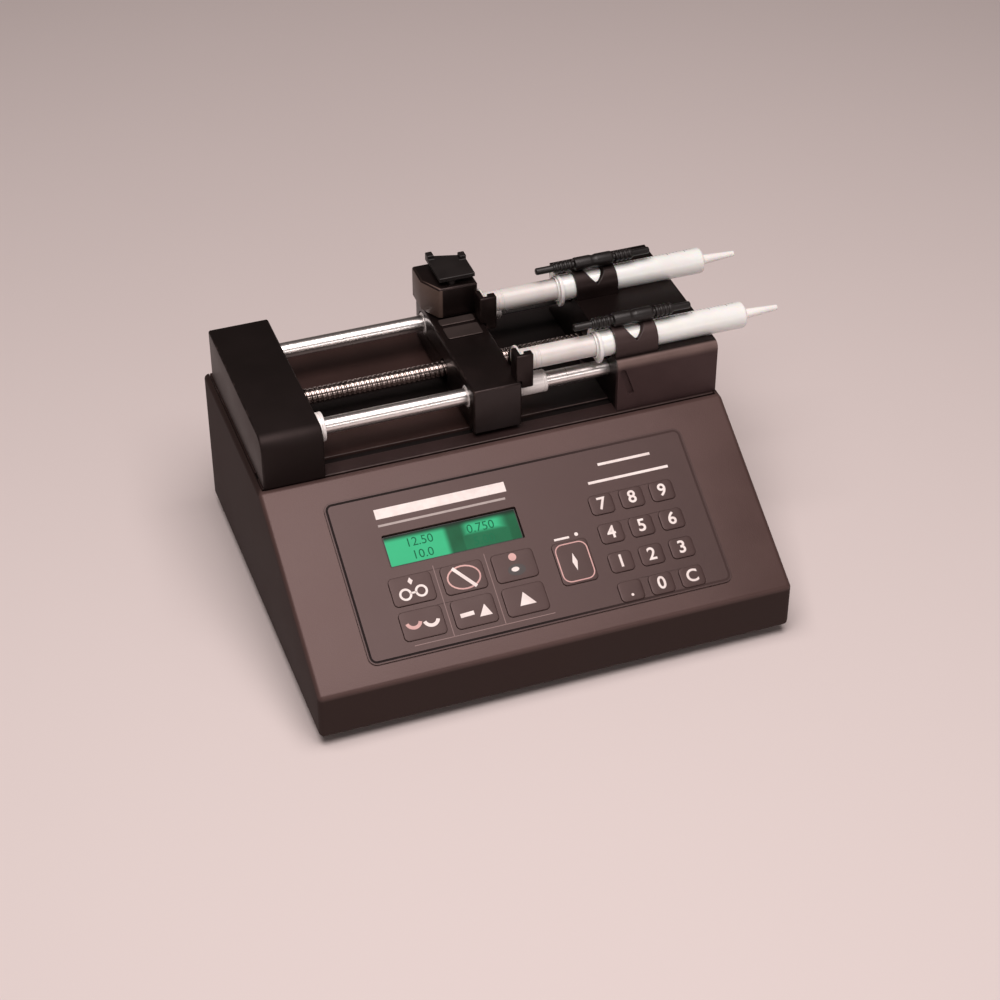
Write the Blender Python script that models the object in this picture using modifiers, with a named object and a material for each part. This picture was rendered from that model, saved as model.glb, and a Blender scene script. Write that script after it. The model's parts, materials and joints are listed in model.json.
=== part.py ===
# Bench syringe pump: a wedge case with a sloped key panel, a screw-driven pusher on two guide rods,
# and a holder block that clamps two syringes side by side.
# Lengths are in metres. X runs towards the syringe tips, Y to the back and Z up.
# Sizes are set in the pump's own frame: X and Y are zero at the case's middle, Z at the case's lower edge.
# A root empty then moves the whole pump so that the middle of its footprint stands at the origin.

import math

import bmesh
import bpy
from mathutils import Matrix

# Clearances
GAP = 0.0003            # between pieces that touch on the real pump
RUN_GAP = 0.0004        # around pieces that turn or slide
KEY_GAP = 0.0004        # around each key
ROCKER_GAP = 0.0011     # around the power rocker, which tilts

# Case
CASE_WIDTH = 0.280
CASE_DEPTH = 0.230
CASE_HEIGHT = 0.090
LIP_HEIGHT = 0.0295     # upright strip below the sloped panel
CASE_WALL = 0.003
CASE_EDGE = 0.002
BASE_THICK = 0.003
REAR_THICK = 0.003
REAR_SET = 0.004        # rear panel's face inside the case edge
BED_THICK = 0.004
FOOT_HEIGHT = 0.006
FOOT_RADIUS = 0.009
FOOT_LOW_RADIUS = 0.0076
FOOT_INSET = 0.024

# End blocks that stand on the bed
END_HEIGHT = 0.034
END_INSET = 0.0037      # from the case side
END_BACK = 0.005        # from the case back
END_EDGE = 0.0012
DRIVE_LENGTH = 0.036
DRIVE_FRONT = 0.002     # behind the panel's top edge
DRIVE_ROUND = 0.008     # front top edge
HOLDER_LENGTH = 0.062
HOLDER_FRONT = 0.006
HOLDER_ROUND = 0.004
HOLDER_SLOT_WIDTH = 0.0034
HOLDER_SLOT_LENGTH = 0.0195
HOLDER_SLOT_DEPTH = 0.0018
HOLDER_SLOT_SET = 0.0058    # middle of the slot from the left face
HOLDER_SLOT_DROP = 0.0145   # middle of the slot below the top
HOLDER_SLOT_LEAN = math.radians(-19.5)

# Guide rods and lead screw
ROD_RADIUS = 0.00475
ROD_SPACING = 0.079
ROD_FRONT = 0.0175      # front rod behind the holder's front
ROD_HEIGHT = 0.020      # above the bed
ROD_BACK = 0.0155       # rear rod to the back of the end blocks
ROD_SEAT = 0.008        # length of rod held in each end block
COLLAR_RADIUS = 0.0085
COLLAR_LENGTH = 0.005
SCREW_RADIUS = 0.00475
SCREW_DROP = 0.007      # below the rods
SCREW_SEAT = 0.005
BEARING_RADIUS = 0.008
BEARING_LENGTH = 0.006

# Belt drive
PULLEY_WIDTH = 0.010
PULLEY_WALL = 0.010     # block wall outside the pulley
SCREW_PULLEY_RADIUS = 0.012
MOTOR_PULLEY_RADIUS = 0.008
BELT_WIDTH = 0.008
BELT_THICK = 0.0016
BELT_ROOM = 0.0015      # free space around the belt
MOTOR_SIZE = 0.042
MOTOR_LENGTH = 0.046
MOTOR_CHAMFER = 0.004
SHAFT_RADIUS = 0.0025
SHAFT_SEAT = 0.010

# Pusher carriage
PUSHER_START = 0.090    # free rod between the drive block and the pusher
PUSHER_LENGTH = 0.029
PUSHER_LIFT = 0.0025    # above the bed
PUSHER_HEIGHT = 0.0295
PUSHER_FRONT = 0.0145   # ahead of the front rod
PUSHER_BACK = 0.0125    # behind the rear rod
PUSHER_EDGE = 0.0012
BUSH_RADIUS = 0.0065
BUSH_REACH = 0.019      # length of each bush that shows beyond the pusher
TOWER_DEPTH = 0.030
TOWER_HEIGHT = 0.0205
TOWER_OVERHANG = 0.002
TOWER_CUT_WIDTH = 0.007     # front left corner, cut off at a slant
TOWER_CUT_DEPTH = 0.013
NUT_LENGTH = 0.012
NUT_HALF_WIDTH = 0.0085
NUT_FLOOR = 0.0026
NUT_ARM_HEIGHT = 0.0045
NUT_ROOM = 0.0012       # pocket around the half nut
RELEASE_TRAVEL = 0.0025
BUTTON_THICK = 0.0025
BUTTON_WIDTH = 0.022
BUTTON_SHIFT = 0.003    # to the right of the pusher's middle
BUTTON_SLANT = 0.006    # right rear corner ahead of the left one
BUTTON_HORN = 0.0025
BUTTON_HORN_WIDTH = 0.004
BUTTON_HORN_DEPTH = 0.005
STEM_RADIUS = 0.0025
STEM_SET = 0.0055       # from the front of the tower

# Syringes
BARREL_RADIUS = 0.0078
BARREL_WALL = 0.0008
BARREL_LENGTH = 0.094
BARREL_LEAD = 0.010     # how far the flange stands off the holder
BARREL_END = 0.0015
FLANGE_RADIUS = 0.0108
FLANGE_FLAT = 0.0092
FLANGE_THICK = 0.002
NOZZLE_LENGTH = 0.022
NOZZLE_BASE = 0.0030
NOZZLE_TIP = 0.0017
SYRINGE_RISE = 0.0045   # axis above the holder's top
SYRINGE_SET = 0.0015    # front axis ahead of the front rod
SYRINGE_SPACING = 0.062
PLUNGER_LENGTH = 0.108
PLUNGER_HEAD = 0.006
PLUNGER_ROOM = 0.0002   # stem inside the head all round
THUMB_RADIUS = 0.009
THUMB_THICK = 0.002

# Plunger retainers on the pusher
RETAINER_LENGTH = 0.007
RETAINER_WALL = 0.0025
RETAINER_BACK = 0.003   # wall behind the thumb pad, on top of the pusher
RETAINER_RISE = 0.011   # above the syringe axis
RETAINER_EDGE = 0.0008
RETAINER_OPEN = 0.002   # from the syringe axis to the end of the wall behind the pad

# Syringe clamps
STRAP_LENGTH = 0.026
STRAP_START = 0.001     # from the left face of the holder
STRAP_THICK = 0.0022
STRAP_LEG = 0.018       # length of leg inside the holder
STRAP_NOTCH = 0.0065    # half width of the notch
STRAP_NOTCH_LOW = 0.004 # bottom of the notch above the syringe axis
HANDLE_LENGTH = 0.072
HANDLE_RADIUS = 0.0021
HANDLE_HUB_RADIUS = 0.004
HANDLE_HUB_LENGTH = 0.024
HANDLE_GRIP_RADIUS = 0.0034
HANDLE_GRIP_LENGTH = 0.011
HANDLE_GRIP_START = 0.014

# Panel: positions run across from the middle and up the slope from the lip
OVERLAY_WIDTH = 0.215
OVERLAY_LOW = 0.011
OVERLAY_SET = 0.0139    # below the panel's top edge
OVERLAY_THICK = 0.0006
OVERLAY_RADIUS = 0.005
WINDOW_X = -0.041
WINDOW_UP = 0.0735
WINDOW_WIDTH = 0.079
WINDOW_HEIGHT = 0.0195
WINDOW_RADIUS = 0.001
LCD_MARGIN = 0.004      # module beyond the window on each side
LCD_THICK = 0.007
LCD_RECESS = 0.0008     # glass below the case face
KEY_DEPTH = 0.0005      # below the case wall
KEY_TRAVEL = 0.0006
KEY_PROUD = 0.0002      # left above the overlay when pressed
KEY_ROUND = 0.0025
DIGIT_X = 0.066
DIGIT_UP = 0.046
DIGIT_PITCH_X = 0.0185
DIGIT_PITCH_UP = 0.018
DIGIT_WIDTH = 0.0135
DIGIT_HEIGHT = 0.0115
SOFT_X = -0.0425
SOFT_UP = 0.0385
SOFT_PITCH_X = 0.030
SOFT_PITCH_UP = 0.0205
SOFT_WIDTH = 0.024
SOFT_HEIGHT = 0.0165
RUN_X = 0.0215
RUN_UP = 0.043
RUN_WIDTH = 0.0205
RUN_HEIGHT = 0.025

# Rear connections and inside
INLET_SIDE = 0.045      # middle from the case side
INLET_UP = 0.030
INLET_WIDTH = 0.0275
INLET_HEIGHT = 0.0200
INLET_DEPTH = 0.018
INLET_WALL = 0.0018
INLET_FLANGE = 0.005
INLET_FLANGE_THICK = 0.0015
ROCKER_PITCH = 0.045    # from the inlet's middle
ROCKER_WIDTH = 0.012
ROCKER_HEIGHT = 0.019
ROCKER_DEPTH = 0.009
ROCKER_HEEL = 0.0064    # height of its inner end
ROCKER_RISE = 0.002
ROCKER_TILT = 8.0       # degrees to each side
BOARD_WIDTH = 0.110
BOARD_DEPTH = 0.085
BOARD_THICK = 0.0016
BOARD_X = 0.010
BOARD_FRONT = 0.085     # middle from the case front
STANDOFF_HEIGHT = 0.007
STANDOFF_RADIUS = 0.003
STANDOFF_INSET = 0.006
CHIP_SIZE = 0.016
CHIP_PITCH = 0.027
CHIP_HEIGHT = 0.004
SUPPLY_SIDE = 0.042     # middle from the case side
SUPPLY_BACK = 0.070     # middle from the case back
SUPPLY_WIDTH = 0.060
SUPPLY_DEPTH = 0.052
SUPPLY_HEIGHT = 0.048
CORE_DEPTH = 0.026
COIL_WIDTH = 0.036
COIL_DROP = 0.006       # coil inside the core, top and bottom

ROUND_SIDES = 32
SMALL_SIDES = 20
LEG_SIDES = 12

# Places that follow from the sizes
FRONT_Y = -CASE_DEPTH / 2
BACK_Y = CASE_DEPTH / 2
REAR_Y = BACK_Y - REAR_SET
BED_DEPTH = HOLDER_FRONT + ROD_FRONT + ROD_SPACING + ROD_BACK + END_BACK
PANEL_RUN = CASE_DEPTH - BED_DEPTH
PANEL_TOP_Y = FRONT_Y + PANEL_RUN
SLOPE = math.atan2(CASE_HEIGHT - LIP_HEIGHT, PANEL_RUN)
PANEL_LENGTH = math.hypot(CASE_HEIGHT - LIP_HEIGHT, PANEL_RUN)
BED_Z = CASE_HEIGHT
END_Z = BED_Z + GAP
END_TOP = BED_Z + END_HEIGHT
END_BACK_Y = BACK_Y - END_BACK
DRIVE_LEFT = -CASE_WIDTH / 2 + END_INSET
DRIVE_RIGHT = DRIVE_LEFT + DRIVE_LENGTH
HOLDER_RIGHT = CASE_WIDTH / 2 - END_INSET / 2
HOLDER_LEFT = HOLDER_RIGHT - HOLDER_LENGTH
ROD_Z = BED_Z + ROD_HEIGHT
REAR_ROD_Y = END_BACK_Y - ROD_BACK
FRONT_ROD_Y = REAR_ROD_Y - ROD_SPACING
SCREW_Y = (REAR_ROD_Y + FRONT_ROD_Y) / 2
SCREW_Z = ROD_Z - SCREW_DROP
PULLEY_LEFT = DRIVE_LEFT + PULLEY_WALL + BELT_ROOM
PULLEY_MID = PULLEY_LEFT + PULLEY_WIDTH / 2
MOTOR_TOP = BED_Z - BED_THICK - GAP
MOTOR_Z = MOTOR_TOP - MOTOR_SIZE / 2
PUSHER_LEFT = DRIVE_RIGHT + PUSHER_START
PUSHER_RIGHT = PUSHER_LEFT + PUSHER_LENGTH
PUSHER_MID = (PUSHER_LEFT + PUSHER_RIGHT) / 2
PUSHER_FRONT_Y = FRONT_ROD_Y - PUSHER_FRONT
PUSHER_BACK_Y = REAR_ROD_Y + PUSHER_BACK
PUSHER_LOW = BED_Z + PUSHER_LIFT
PUSHER_TOP = PUSHER_LOW + PUSHER_HEIGHT
TOWER_FRONT_Y = PUSHER_BACK_Y - TOWER_DEPTH
TOWER_TOP = PUSHER_TOP + GAP + TOWER_HEIGHT
SYRINGE_Z = END_TOP + SYRINGE_RISE
FRONT_SYRINGE_Y = FRONT_ROD_Y - SYRINGE_SET
REAR_SYRINGE_Y = FRONT_SYRINGE_Y + SYRINGE_SPACING
BARREL_LEFT = HOLDER_LEFT - BARREL_LEAD
BARREL_RIGHT = BARREL_LEFT + BARREL_LENGTH
NOZZLE_RIGHT = BARREL_RIGHT + NOZZLE_LENGTH
STRAP_INNER = BARREL_RADIUS + GAP
STRAP_OUTER = STRAP_INNER + STRAP_THICK
STRAP_LEFT = HOLDER_LEFT + STRAP_START
STRAP_MID = STRAP_LEFT + STRAP_LENGTH / 2
OVERLAY_HIGH = PANEL_LENGTH - OVERLAY_SET
OVERLAY_TOP = GAP + OVERLAY_THICK
INLET_X = CASE_WIDTH / 2 - INLET_SIDE
ROCKER_X = INLET_X - ROCKER_PITCH
BOARD_Y = FRONT_Y + BOARD_FRONT
SUPPLY_X = CASE_WIDTH / 2 - SUPPLY_SIDE
SUPPLY_Y = BACK_Y - SUPPLY_BACK
ROOT_X = -(NOZZLE_RIGHT - CASE_WIDTH / 2) / 2

# Turn that takes a flat outline drawn in Y and Z and lays its thickness along X
ALONG_X = (math.pi / 2, 0.0, math.pi / 2)
SHAFT_TURN = (0.0, math.pi / 2, 0.0)
FLAT = (0.0, 0.0, 0.0)


# Scene, materials and small tools

def clear_scene():
    for item in list(bpy.data.objects):
        bpy.data.objects.remove(item, do_unlink=True)


def new_collection(name):
    made = bpy.data.collections.new(name)
    bpy.context.scene.collection.children.link(made)
    return made


def new_material(name, colour, roughness, metallic=0.0):
    made = bpy.data.materials.new(name)
    made.use_nodes = True
    shader = made.node_tree.nodes["Principled BSDF"]
    shader.inputs["Base Color"].default_value = (*colour, 1.0)
    shader.inputs["Roughness"].default_value = roughness
    shader.inputs["Metallic"].default_value = metallic
    return made


clear_scene()
PARTS = new_collection("syringe_pump")
CUTTERS = new_collection("cutters")

PAINT = {
    "case": ((0.16, 0.12, 0.115), 0.5),
    "block": ((0.02, 0.016, 0.016), 0.4),
    "bed": ((0.05, 0.036, 0.033), 0.45),
    "steel": ((0.80, 0.80, 0.80), 0.15, 1.0),
    "bush": ((0.85, 0.84, 0.80), 0.3, 0.8),
    "strap": ((0.10, 0.085, 0.085), 0.5),
    "plastic": ((0.86, 0.85, 0.83), 0.35),
    "overlay": ((0.13, 0.10, 0.098), 0.4),
    "key": ((0.15, 0.12, 0.115), 0.4),
    "lcd": ((0.10, 0.62, 0.36), 0.2),
    "rubber": ((0.02, 0.02, 0.02), 0.8),
    "board": ((0.03, 0.16, 0.07), 0.5),
    "grey": ((0.35, 0.35, 0.36), 0.5),
    "brass": ((0.72, 0.55, 0.25), 0.3, 1.0),
}


def new_empty(name, at, turn=FLAT, parent=None):
    made = bpy.data.objects.new(name, None)
    made.location = at
    made.rotation_euler = turn
    made.parent = parent
    PARTS.objects.link(made)
    return made


ROOT = new_empty("pump_root", (ROOT_X, 0.0, FOOT_HEIGHT))
PANEL = new_empty("panel_frame", (0.0, FRONT_Y, LIP_HEIGHT), (SLOPE, 0.0, 0.0), ROOT)


def place(name, mesh, at, paint, turn=FLAT, parent=ROOT):
    made = bpy.data.objects.new(name, mesh)
    made.location = at
    made.rotation_euler = turn
    made.parent = parent
    if paint is None:
        made.hide_render = True
        made.display_type = "WIRE"
        CUTTERS.objects.link(made)
    else:
        mesh.materials.append(new_material(name, *PAINT[paint]))
        PARTS.objects.link(made)
    return made


def to_mesh(shape, name, smooth=False):
    mesh = bpy.data.meshes.new(name)
    shape.to_mesh(mesh)
    shape.free()
    if smooth:
        mesh.shade_smooth()
        mesh.set_sharp_from_angle(angle=math.radians(35))
    return mesh


def box_mesh(name, size):
    shape = bmesh.new()
    bmesh.ops.create_cube(shape, size=1.0, matrix=Matrix.Diagonal((*size, 1.0)))
    return to_mesh(shape, name)


def slab_shape(shape, size, middle, radius):
    # A box whose four upright edges are rounded
    place_at = Matrix.Translation(middle) @ Matrix.Diagonal((*size, 1.0))
    made = bmesh.ops.create_cube(shape, size=1.0, matrix=place_at)
    corners = set(made["verts"])
    upright = []
    for edge in shape.edges:
        ends = edge.verts
        if ends[0] in corners and ends[1] in corners and abs(ends[0].co.z - ends[1].co.z) > size[2] / 2:
            upright.append(edge)
    bmesh.ops.bevel(shape, geom=upright, offset=radius, segments=3, profile=0.5, affect="EDGES")


def slab_mesh(name, size, radius):
    shape = bmesh.new()
    slab_shape(shape, size, (0.0, 0.0, 0.0), radius)
    return to_mesh(shape, name)


def shaft_mesh(name, radius, length, sides=ROUND_SIDES, tip=None):
    shape = bmesh.new()
    end = radius if tip is None else tip
    bmesh.ops.create_cone(shape, cap_ends=True, segments=sides, radius1=radius, radius2=end, depth=length)
    return to_mesh(shape, name, smooth=True)


def around(radius, sides=ROUND_SIDES):
    # Corner radius of a polygon whose flats clear a round of this radius
    return radius / math.cos(math.pi / sides)


def outline_mesh(name, loops, thickness):
    curve = bpy.data.curves.new(name, "CURVE")
    curve.dimensions = "2D"
    curve.fill_mode = "BOTH"
    curve.extrude = thickness / 2
    for loop in loops:
        spline = curve.splines.new("POLY")
        spline.points.add(len(loop) - 1)
        spline.use_cyclic_u = True
        for point, (across, up) in zip(spline.points, loop):
            point.co = (across, up, 0.0, 1.0)
    carrier = bpy.data.objects.new(name, curve)
    CUTTERS.objects.link(carrier)
    graph = bpy.context.evaluated_depsgraph_get()
    flat = bpy.data.meshes.new_from_object(carrier.evaluated_get(graph))
    bpy.data.objects.remove(carrier, do_unlink=True)
    shape = bmesh.new()
    shape.from_mesh(flat)
    bmesh.ops.remove_doubles(shape, verts=shape.verts[:], dist=1e-6)
    bmesh.ops.dissolve_limit(shape, angle_limit=0.001, verts=shape.verts[:], edges=shape.edges[:])
    bmesh.ops.recalc_face_normals(shape, faces=shape.faces[:])
    bpy.data.meshes.remove(flat)
    return to_mesh(shape, name, smooth=True)


def arc(middle, radius, start, stop, steps):
    points = []
    for step in range(steps + 1):
        angle = math.radians(start + (stop - start) * step / steps)
        points.append((middle[0] + radius * math.cos(angle), middle[1] + radius * math.sin(angle)))
    return points


def circle(middle, radius, sides=ROUND_SIDES):
    return arc(middle, radius, 0.0, 360.0 - 360.0 / sides, sides - 1)


def turned_mesh(name, profile):
    # Profile of (radius, height) points from the top down; the turning axis is Z
    shape = bmesh.new()
    last = None
    for radius, height in profile:
        corner = shape.verts.new((radius, 0.0, height))
        if last is not None:
            shape.edges.new((last, corner))
        last = corner
    return to_mesh(shape, name)


def turn_on(piece, sides=ROUND_SIDES):
    screw = piece.modifiers.new("turned", "SCREW")
    screw.axis = "Z"
    screw.steps = sides
    screw.render_steps = sides
    screw.use_merge_vertices = True
    screw.merge_threshold = 1e-5
    screw.use_smooth_shade = False


def round_edges(piece, width, segments=2):
    bevel = piece.modifiers.new("rounded", "BEVEL")
    bevel.width = width
    bevel.segments = segments
    bevel.limit_method = "ANGLE"
    bevel.angle_limit = math.radians(40)


def combine(piece, other, operation):
    change = piece.modifiers.new(other.name, "BOOLEAN")
    change.operation = operation
    change.solver = "EXACT"
    change.object = other


def cut_box(piece, label, size, at, parent=ROOT):
    combine(piece, place(label, box_mesh(label, size), at, None, FLAT, parent), "DIFFERENCE")


def cut_round(piece, label, radius, length, at, turn=SHAFT_TURN, sides=ROUND_SIDES):
    cutter = place(label, shaft_mesh(label, radius, length, sides), at, None, turn)
    combine(piece, cutter, "DIFFERENCE")


def join_box(piece, label, size, at, parent=ROOT):
    combine(piece, place(label, box_mesh(label, size), at, None, FLAT, parent), "UNION")


def join_round(piece, label, radius, length, at, turn=SHAFT_TURN, sides=ROUND_SIDES):
    joined = place(label, shaft_mesh(label, radius, length, sides), at, None, turn)
    combine(piece, joined, "UNION")


def span(low, high):
    return (low + high) / 2


# Keys: name, place across, place up the slope, width and height

def key_list():
    keys = []
    digits = ("7", "8", "9", "4", "5", "6", "1", "2", "3", "point", "0", "clear")
    for index, digit in enumerate(digits):
        column = index % 3 - 1
        row = 1.5 - index // 3
        across = DIGIT_X + column * DIGIT_PITCH_X
        up = DIGIT_UP + row * DIGIT_PITCH_UP
        keys.append(("key_" + digit, across, up, DIGIT_WIDTH, DIGIT_HEIGHT))
    names = ("mode", "diameter", "rate", "volume", "enter", "refill")
    for index, label in enumerate(names):
        column = index % 3 - 1
        row = 0.5 - index // 3
        across = SOFT_X + column * SOFT_PITCH_X
        up = SOFT_UP + row * SOFT_PITCH_UP
        keys.append(("key_" + label, across, up, SOFT_WIDTH, SOFT_HEIGHT))
    keys.append(("key_run", RUN_X, RUN_UP, RUN_WIDTH, RUN_HEIGHT))
    return keys


KEYS = key_list()


def panel_cutter():
    # Every opening in the sloped panel: one for each key and one for the display
    shape = bmesh.new()
    depth = 4 * CASE_WALL
    for _, across, up, width, height in KEYS:
        size = (width + 2 * KEY_GAP, height + 2 * KEY_GAP, depth)
        slab_shape(shape, size, (across, up, 0.0), KEY_ROUND + KEY_GAP)
    slab_shape(shape, (WINDOW_WIDTH, WINDOW_HEIGHT, depth), (WINDOW_X, WINDOW_UP, 0.0), WINDOW_RADIUS)
    return place("panel_openings", to_mesh(shape, "panel_openings"), (0.0, 0.0, 0.0), None, FLAT, PANEL)


PANEL_OPENINGS = panel_cutter()


# Case

def build_case_cover():
    outer = [
        (FRONT_Y, 0.0),
        (BACK_Y, 0.0),
        (BACK_Y, CASE_HEIGHT),
        (PANEL_TOP_Y, CASE_HEIGHT),
        (FRONT_Y, LIP_HEIGHT),
    ]
    cover = place("case_cover", outline_mesh("case_cover", [outer], CASE_WIDTH), FLAT, "case", ALONG_X)
    round_edges(cover, CASE_EDGE)
    inner_front = FRONT_Y + CASE_WALL
    lip_inside = LIP_HEIGHT + CASE_WALL * (math.tan(SLOPE) - 1 / math.cos(SLOPE))
    over = CASE_WALL
    top_inside = PANEL_TOP_Y + CASE_WALL / math.sin(SLOPE) + over / math.tan(SLOPE)
    inner = [
        (inner_front, -over),
        (BACK_Y + over, -over),
        (BACK_Y + over, CASE_HEIGHT + over),
        (top_inside, CASE_HEIGHT + over),
        (inner_front, lip_inside),
    ]
    hollow = outline_mesh("case_hollow", [inner], CASE_WIDTH - 2 * CASE_WALL)
    combine(cover, place("case_hollow", hollow, FLAT, None, ALONG_X), "DIFFERENCE")
    combine(cover, PANEL_OPENINGS, "DIFFERENCE")


def inside_width():
    return CASE_WIDTH - 2 * CASE_WALL - 2 * GAP


def build_base_plate():
    front = FRONT_Y + CASE_WALL + GAP
    back = BACK_Y
    size = (inside_width(), back - front, BASE_THICK)
    place("base_plate", box_mesh("base_plate", size), (0.0, span(front, back), BASE_THICK / 2), "bed")


def build_feet():
    reach_x = CASE_WIDTH / 2 - FOOT_INSET
    reach_y = CASE_DEPTH / 2 - FOOT_INSET
    height = FOOT_HEIGHT - GAP
    for label_y, side_y in (("front", -1), ("rear", 1)):
        for label_x, side_x in (("left", -1), ("right", 1)):
            name = "foot_" + label_y + "_" + label_x
            mesh = shaft_mesh(name, FOOT_LOW_RADIUS, height, SMALL_SIDES, tip=FOOT_RADIUS)
            place(name, mesh, (side_x * reach_x, side_y * reach_y, -FOOT_HEIGHT + height / 2), "rubber")


def build_rear_panel():
    low = BASE_THICK + GAP
    high = BED_Z - BED_THICK - GAP
    size = (inside_width(), REAR_THICK, high - low)
    middle = REAR_Y - REAR_THICK / 2
    panel = place("rear_panel", box_mesh("rear_panel", size), (0.0, middle, span(low, high)), "bed")
    hole = (INLET_WIDTH + 2 * GAP, 3 * REAR_THICK, INLET_HEIGHT + 2 * GAP)
    cut_box(panel, "inlet_hole", hole, (INLET_X, middle, INLET_UP))
    slot = (ROCKER_WIDTH + 2 * RUN_GAP, 3 * REAR_THICK, ROCKER_HEIGHT + 2 * ROCKER_GAP)
    cut_box(panel, "rocker_hole", slot, (ROCKER_X, middle, INLET_UP))


def build_bed_plate():
    front = PANEL_TOP_Y + CASE_WALL / math.sin(SLOPE) + GAP
    size = (inside_width(), BACK_Y - front, BED_THICK)
    at = (0.0, span(front, BACK_Y), BED_Z - BED_THICK / 2)
    bed = place("bed_plate", box_mesh("bed_plate", size), at, "bed")
    cut_box(bed, "belt_slot", belt_room(BED_THICK * 3), (PULLEY_MID, SCREW_Y, BED_Z - BED_THICK / 2))


def belt_room(height):
    reach = SCREW_PULLEY_RADIUS + GAP + BELT_THICK + BELT_ROOM
    return (PULLEY_WIDTH + 2 * BELT_ROOM, 2 * reach, height)


# End blocks

def build_drive_housing():
    front = PANEL_TOP_Y + DRIVE_FRONT
    outline = [(END_BACK_Y, END_Z), (END_BACK_Y, END_TOP)]
    outline += arc((front + DRIVE_ROUND, END_TOP - DRIVE_ROUND), DRIVE_ROUND, 90.0, 180.0, 6)
    outline += [(front, END_Z)]
    middle = span(DRIVE_LEFT, DRIVE_RIGHT)
    mesh = outline_mesh("drive_housing", [outline], DRIVE_LENGTH)
    block = place("drive_housing", mesh, (middle, 0.0, 0.0), "block", ALONG_X)
    round_edges(block, END_EDGE)
    pocket_top = SCREW_Z + SCREW_PULLEY_RADIUS + GAP + BELT_THICK + BELT_ROOM
    room = belt_room(2 * (pocket_top - BED_Z))
    cut_box(block, "belt_pocket", room, (PULLEY_MID, SCREW_Y, BED_Z))
    seat = ROD_SEAT + GAP
    for label, rod_y in (("rear", REAR_ROD_Y), ("front", FRONT_ROD_Y)):
        cut_round(block, label + "_rod_seat", ROD_RADIUS + GAP, 2 * seat, (DRIVE_RIGHT, rod_y, ROD_Z))
    bearing_seat = 2 * (BEARING_LENGTH + GAP)
    cut_round(block, "bearing_seat", BEARING_RADIUS + GAP, bearing_seat, (DRIVE_RIGHT, SCREW_Y, SCREW_Z))
    left = PULLEY_LEFT - BELT_ROOM - SCREW_SEAT - GAP
    bore = around(SCREW_RADIUS + RUN_GAP)
    bore_at = (span(left, DRIVE_RIGHT), SCREW_Y, SCREW_Z)
    cut_round(block, "drive_screw_bore", bore, DRIVE_RIGHT - left, bore_at)


def groove(syringe_y):
    # V that cradles a barrel, cut into the holder's top edge
    low = SYRINGE_Z - (BARREL_RADIUS + GAP) * math.sqrt(2)
    half = END_TOP - low
    return [(syringe_y + half, END_TOP), (syringe_y, low), (syringe_y - half, END_TOP)]


def build_syringe_holder():
    front = PANEL_TOP_Y + HOLDER_FRONT
    outline = [(END_BACK_Y, END_Z), (END_BACK_Y, END_TOP)]
    outline += groove(REAR_SYRINGE_Y) + groove(FRONT_SYRINGE_Y)
    outline += arc((front + HOLDER_ROUND, END_TOP - HOLDER_ROUND), HOLDER_ROUND, 90.0, 180.0, 4)
    outline += [(front, END_Z)]
    middle = span(HOLDER_LEFT, HOLDER_RIGHT)
    mesh = outline_mesh("syringe_holder", [outline], HOLDER_LENGTH)
    holder = place("syringe_holder", mesh, (middle, 0.0, 0.0), "case", ALONG_X)
    seat = 2 * (ROD_SEAT + GAP)
    for label, rod_y in (("rear", REAR_ROD_Y), ("front", FRONT_ROD_Y)):
        cut_round(holder, label + "_rod_end", ROD_RADIUS + GAP, seat, (HOLDER_LEFT, rod_y, ROD_Z))
    bore = around(SCREW_RADIUS + RUN_GAP)
    cut_round(holder, "holder_screw_bore", bore, 2 * (SCREW_SEAT + GAP), (HOLDER_LEFT, SCREW_Y, SCREW_Z))
    slot = (STRAP_LENGTH + 2 * RUN_GAP, STRAP_THICK + 2 * RUN_GAP, 2 * (STRAP_LEG + RUN_GAP))
    offset = span(STRAP_INNER, STRAP_OUTER)
    for label, syringe_y in (("rear", REAR_SYRINGE_Y), ("front", FRONT_SYRINGE_Y)):
        for side_label, side in (("near", -1), ("far", 1)):
            name = label + "_strap_slot_" + side_label
            cut_box(holder, name, slot, (STRAP_MID, syringe_y + side * offset, END_TOP))
    cut_front_slot(holder, front)


def cut_front_slot(holder, front):
    # Slanted slot in the front face
    size = (HOLDER_SLOT_WIDTH, HOLDER_SLOT_LENGTH, 2 * HOLDER_SLOT_DEPTH)
    mesh = slab_mesh("holder_slot", size, HOLDER_SLOT_WIDTH * 0.49)
    at = (HOLDER_LEFT + HOLDER_SLOT_SET, front, END_TOP - HOLDER_SLOT_DROP)
    turn = (math.pi / 2, HOLDER_SLOT_LEAN, 0.0)
    combine(holder, place("holder_slot", mesh, at, None, turn), "DIFFERENCE")


# Rods, screw and belt drive

def build_guide_rods():
    left = DRIVE_RIGHT - ROD_SEAT
    right = HOLDER_LEFT + ROD_SEAT
    for label, rod_y in (("rear", REAR_ROD_Y), ("front", FRONT_ROD_Y)):
        name = label + "_guide_rod"
        mesh = shaft_mesh(name, ROD_RADIUS, right - left)
        place(name, mesh, (span(left, right), rod_y, ROD_Z), "steel", SHAFT_TURN)


def build_rod_collar():
    loops = [circle((0.0, 0.0), COLLAR_RADIUS), circle((0.0, 0.0), around(ROD_RADIUS + GAP))]
    mesh = outline_mesh("front_rod_collar", loops, COLLAR_LENGTH)
    middle = DRIVE_RIGHT + GAP + COLLAR_LENGTH / 2
    place("front_rod_collar", mesh, (middle, FRONT_ROD_Y, ROD_Z), "bush", ALONG_X)


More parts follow.
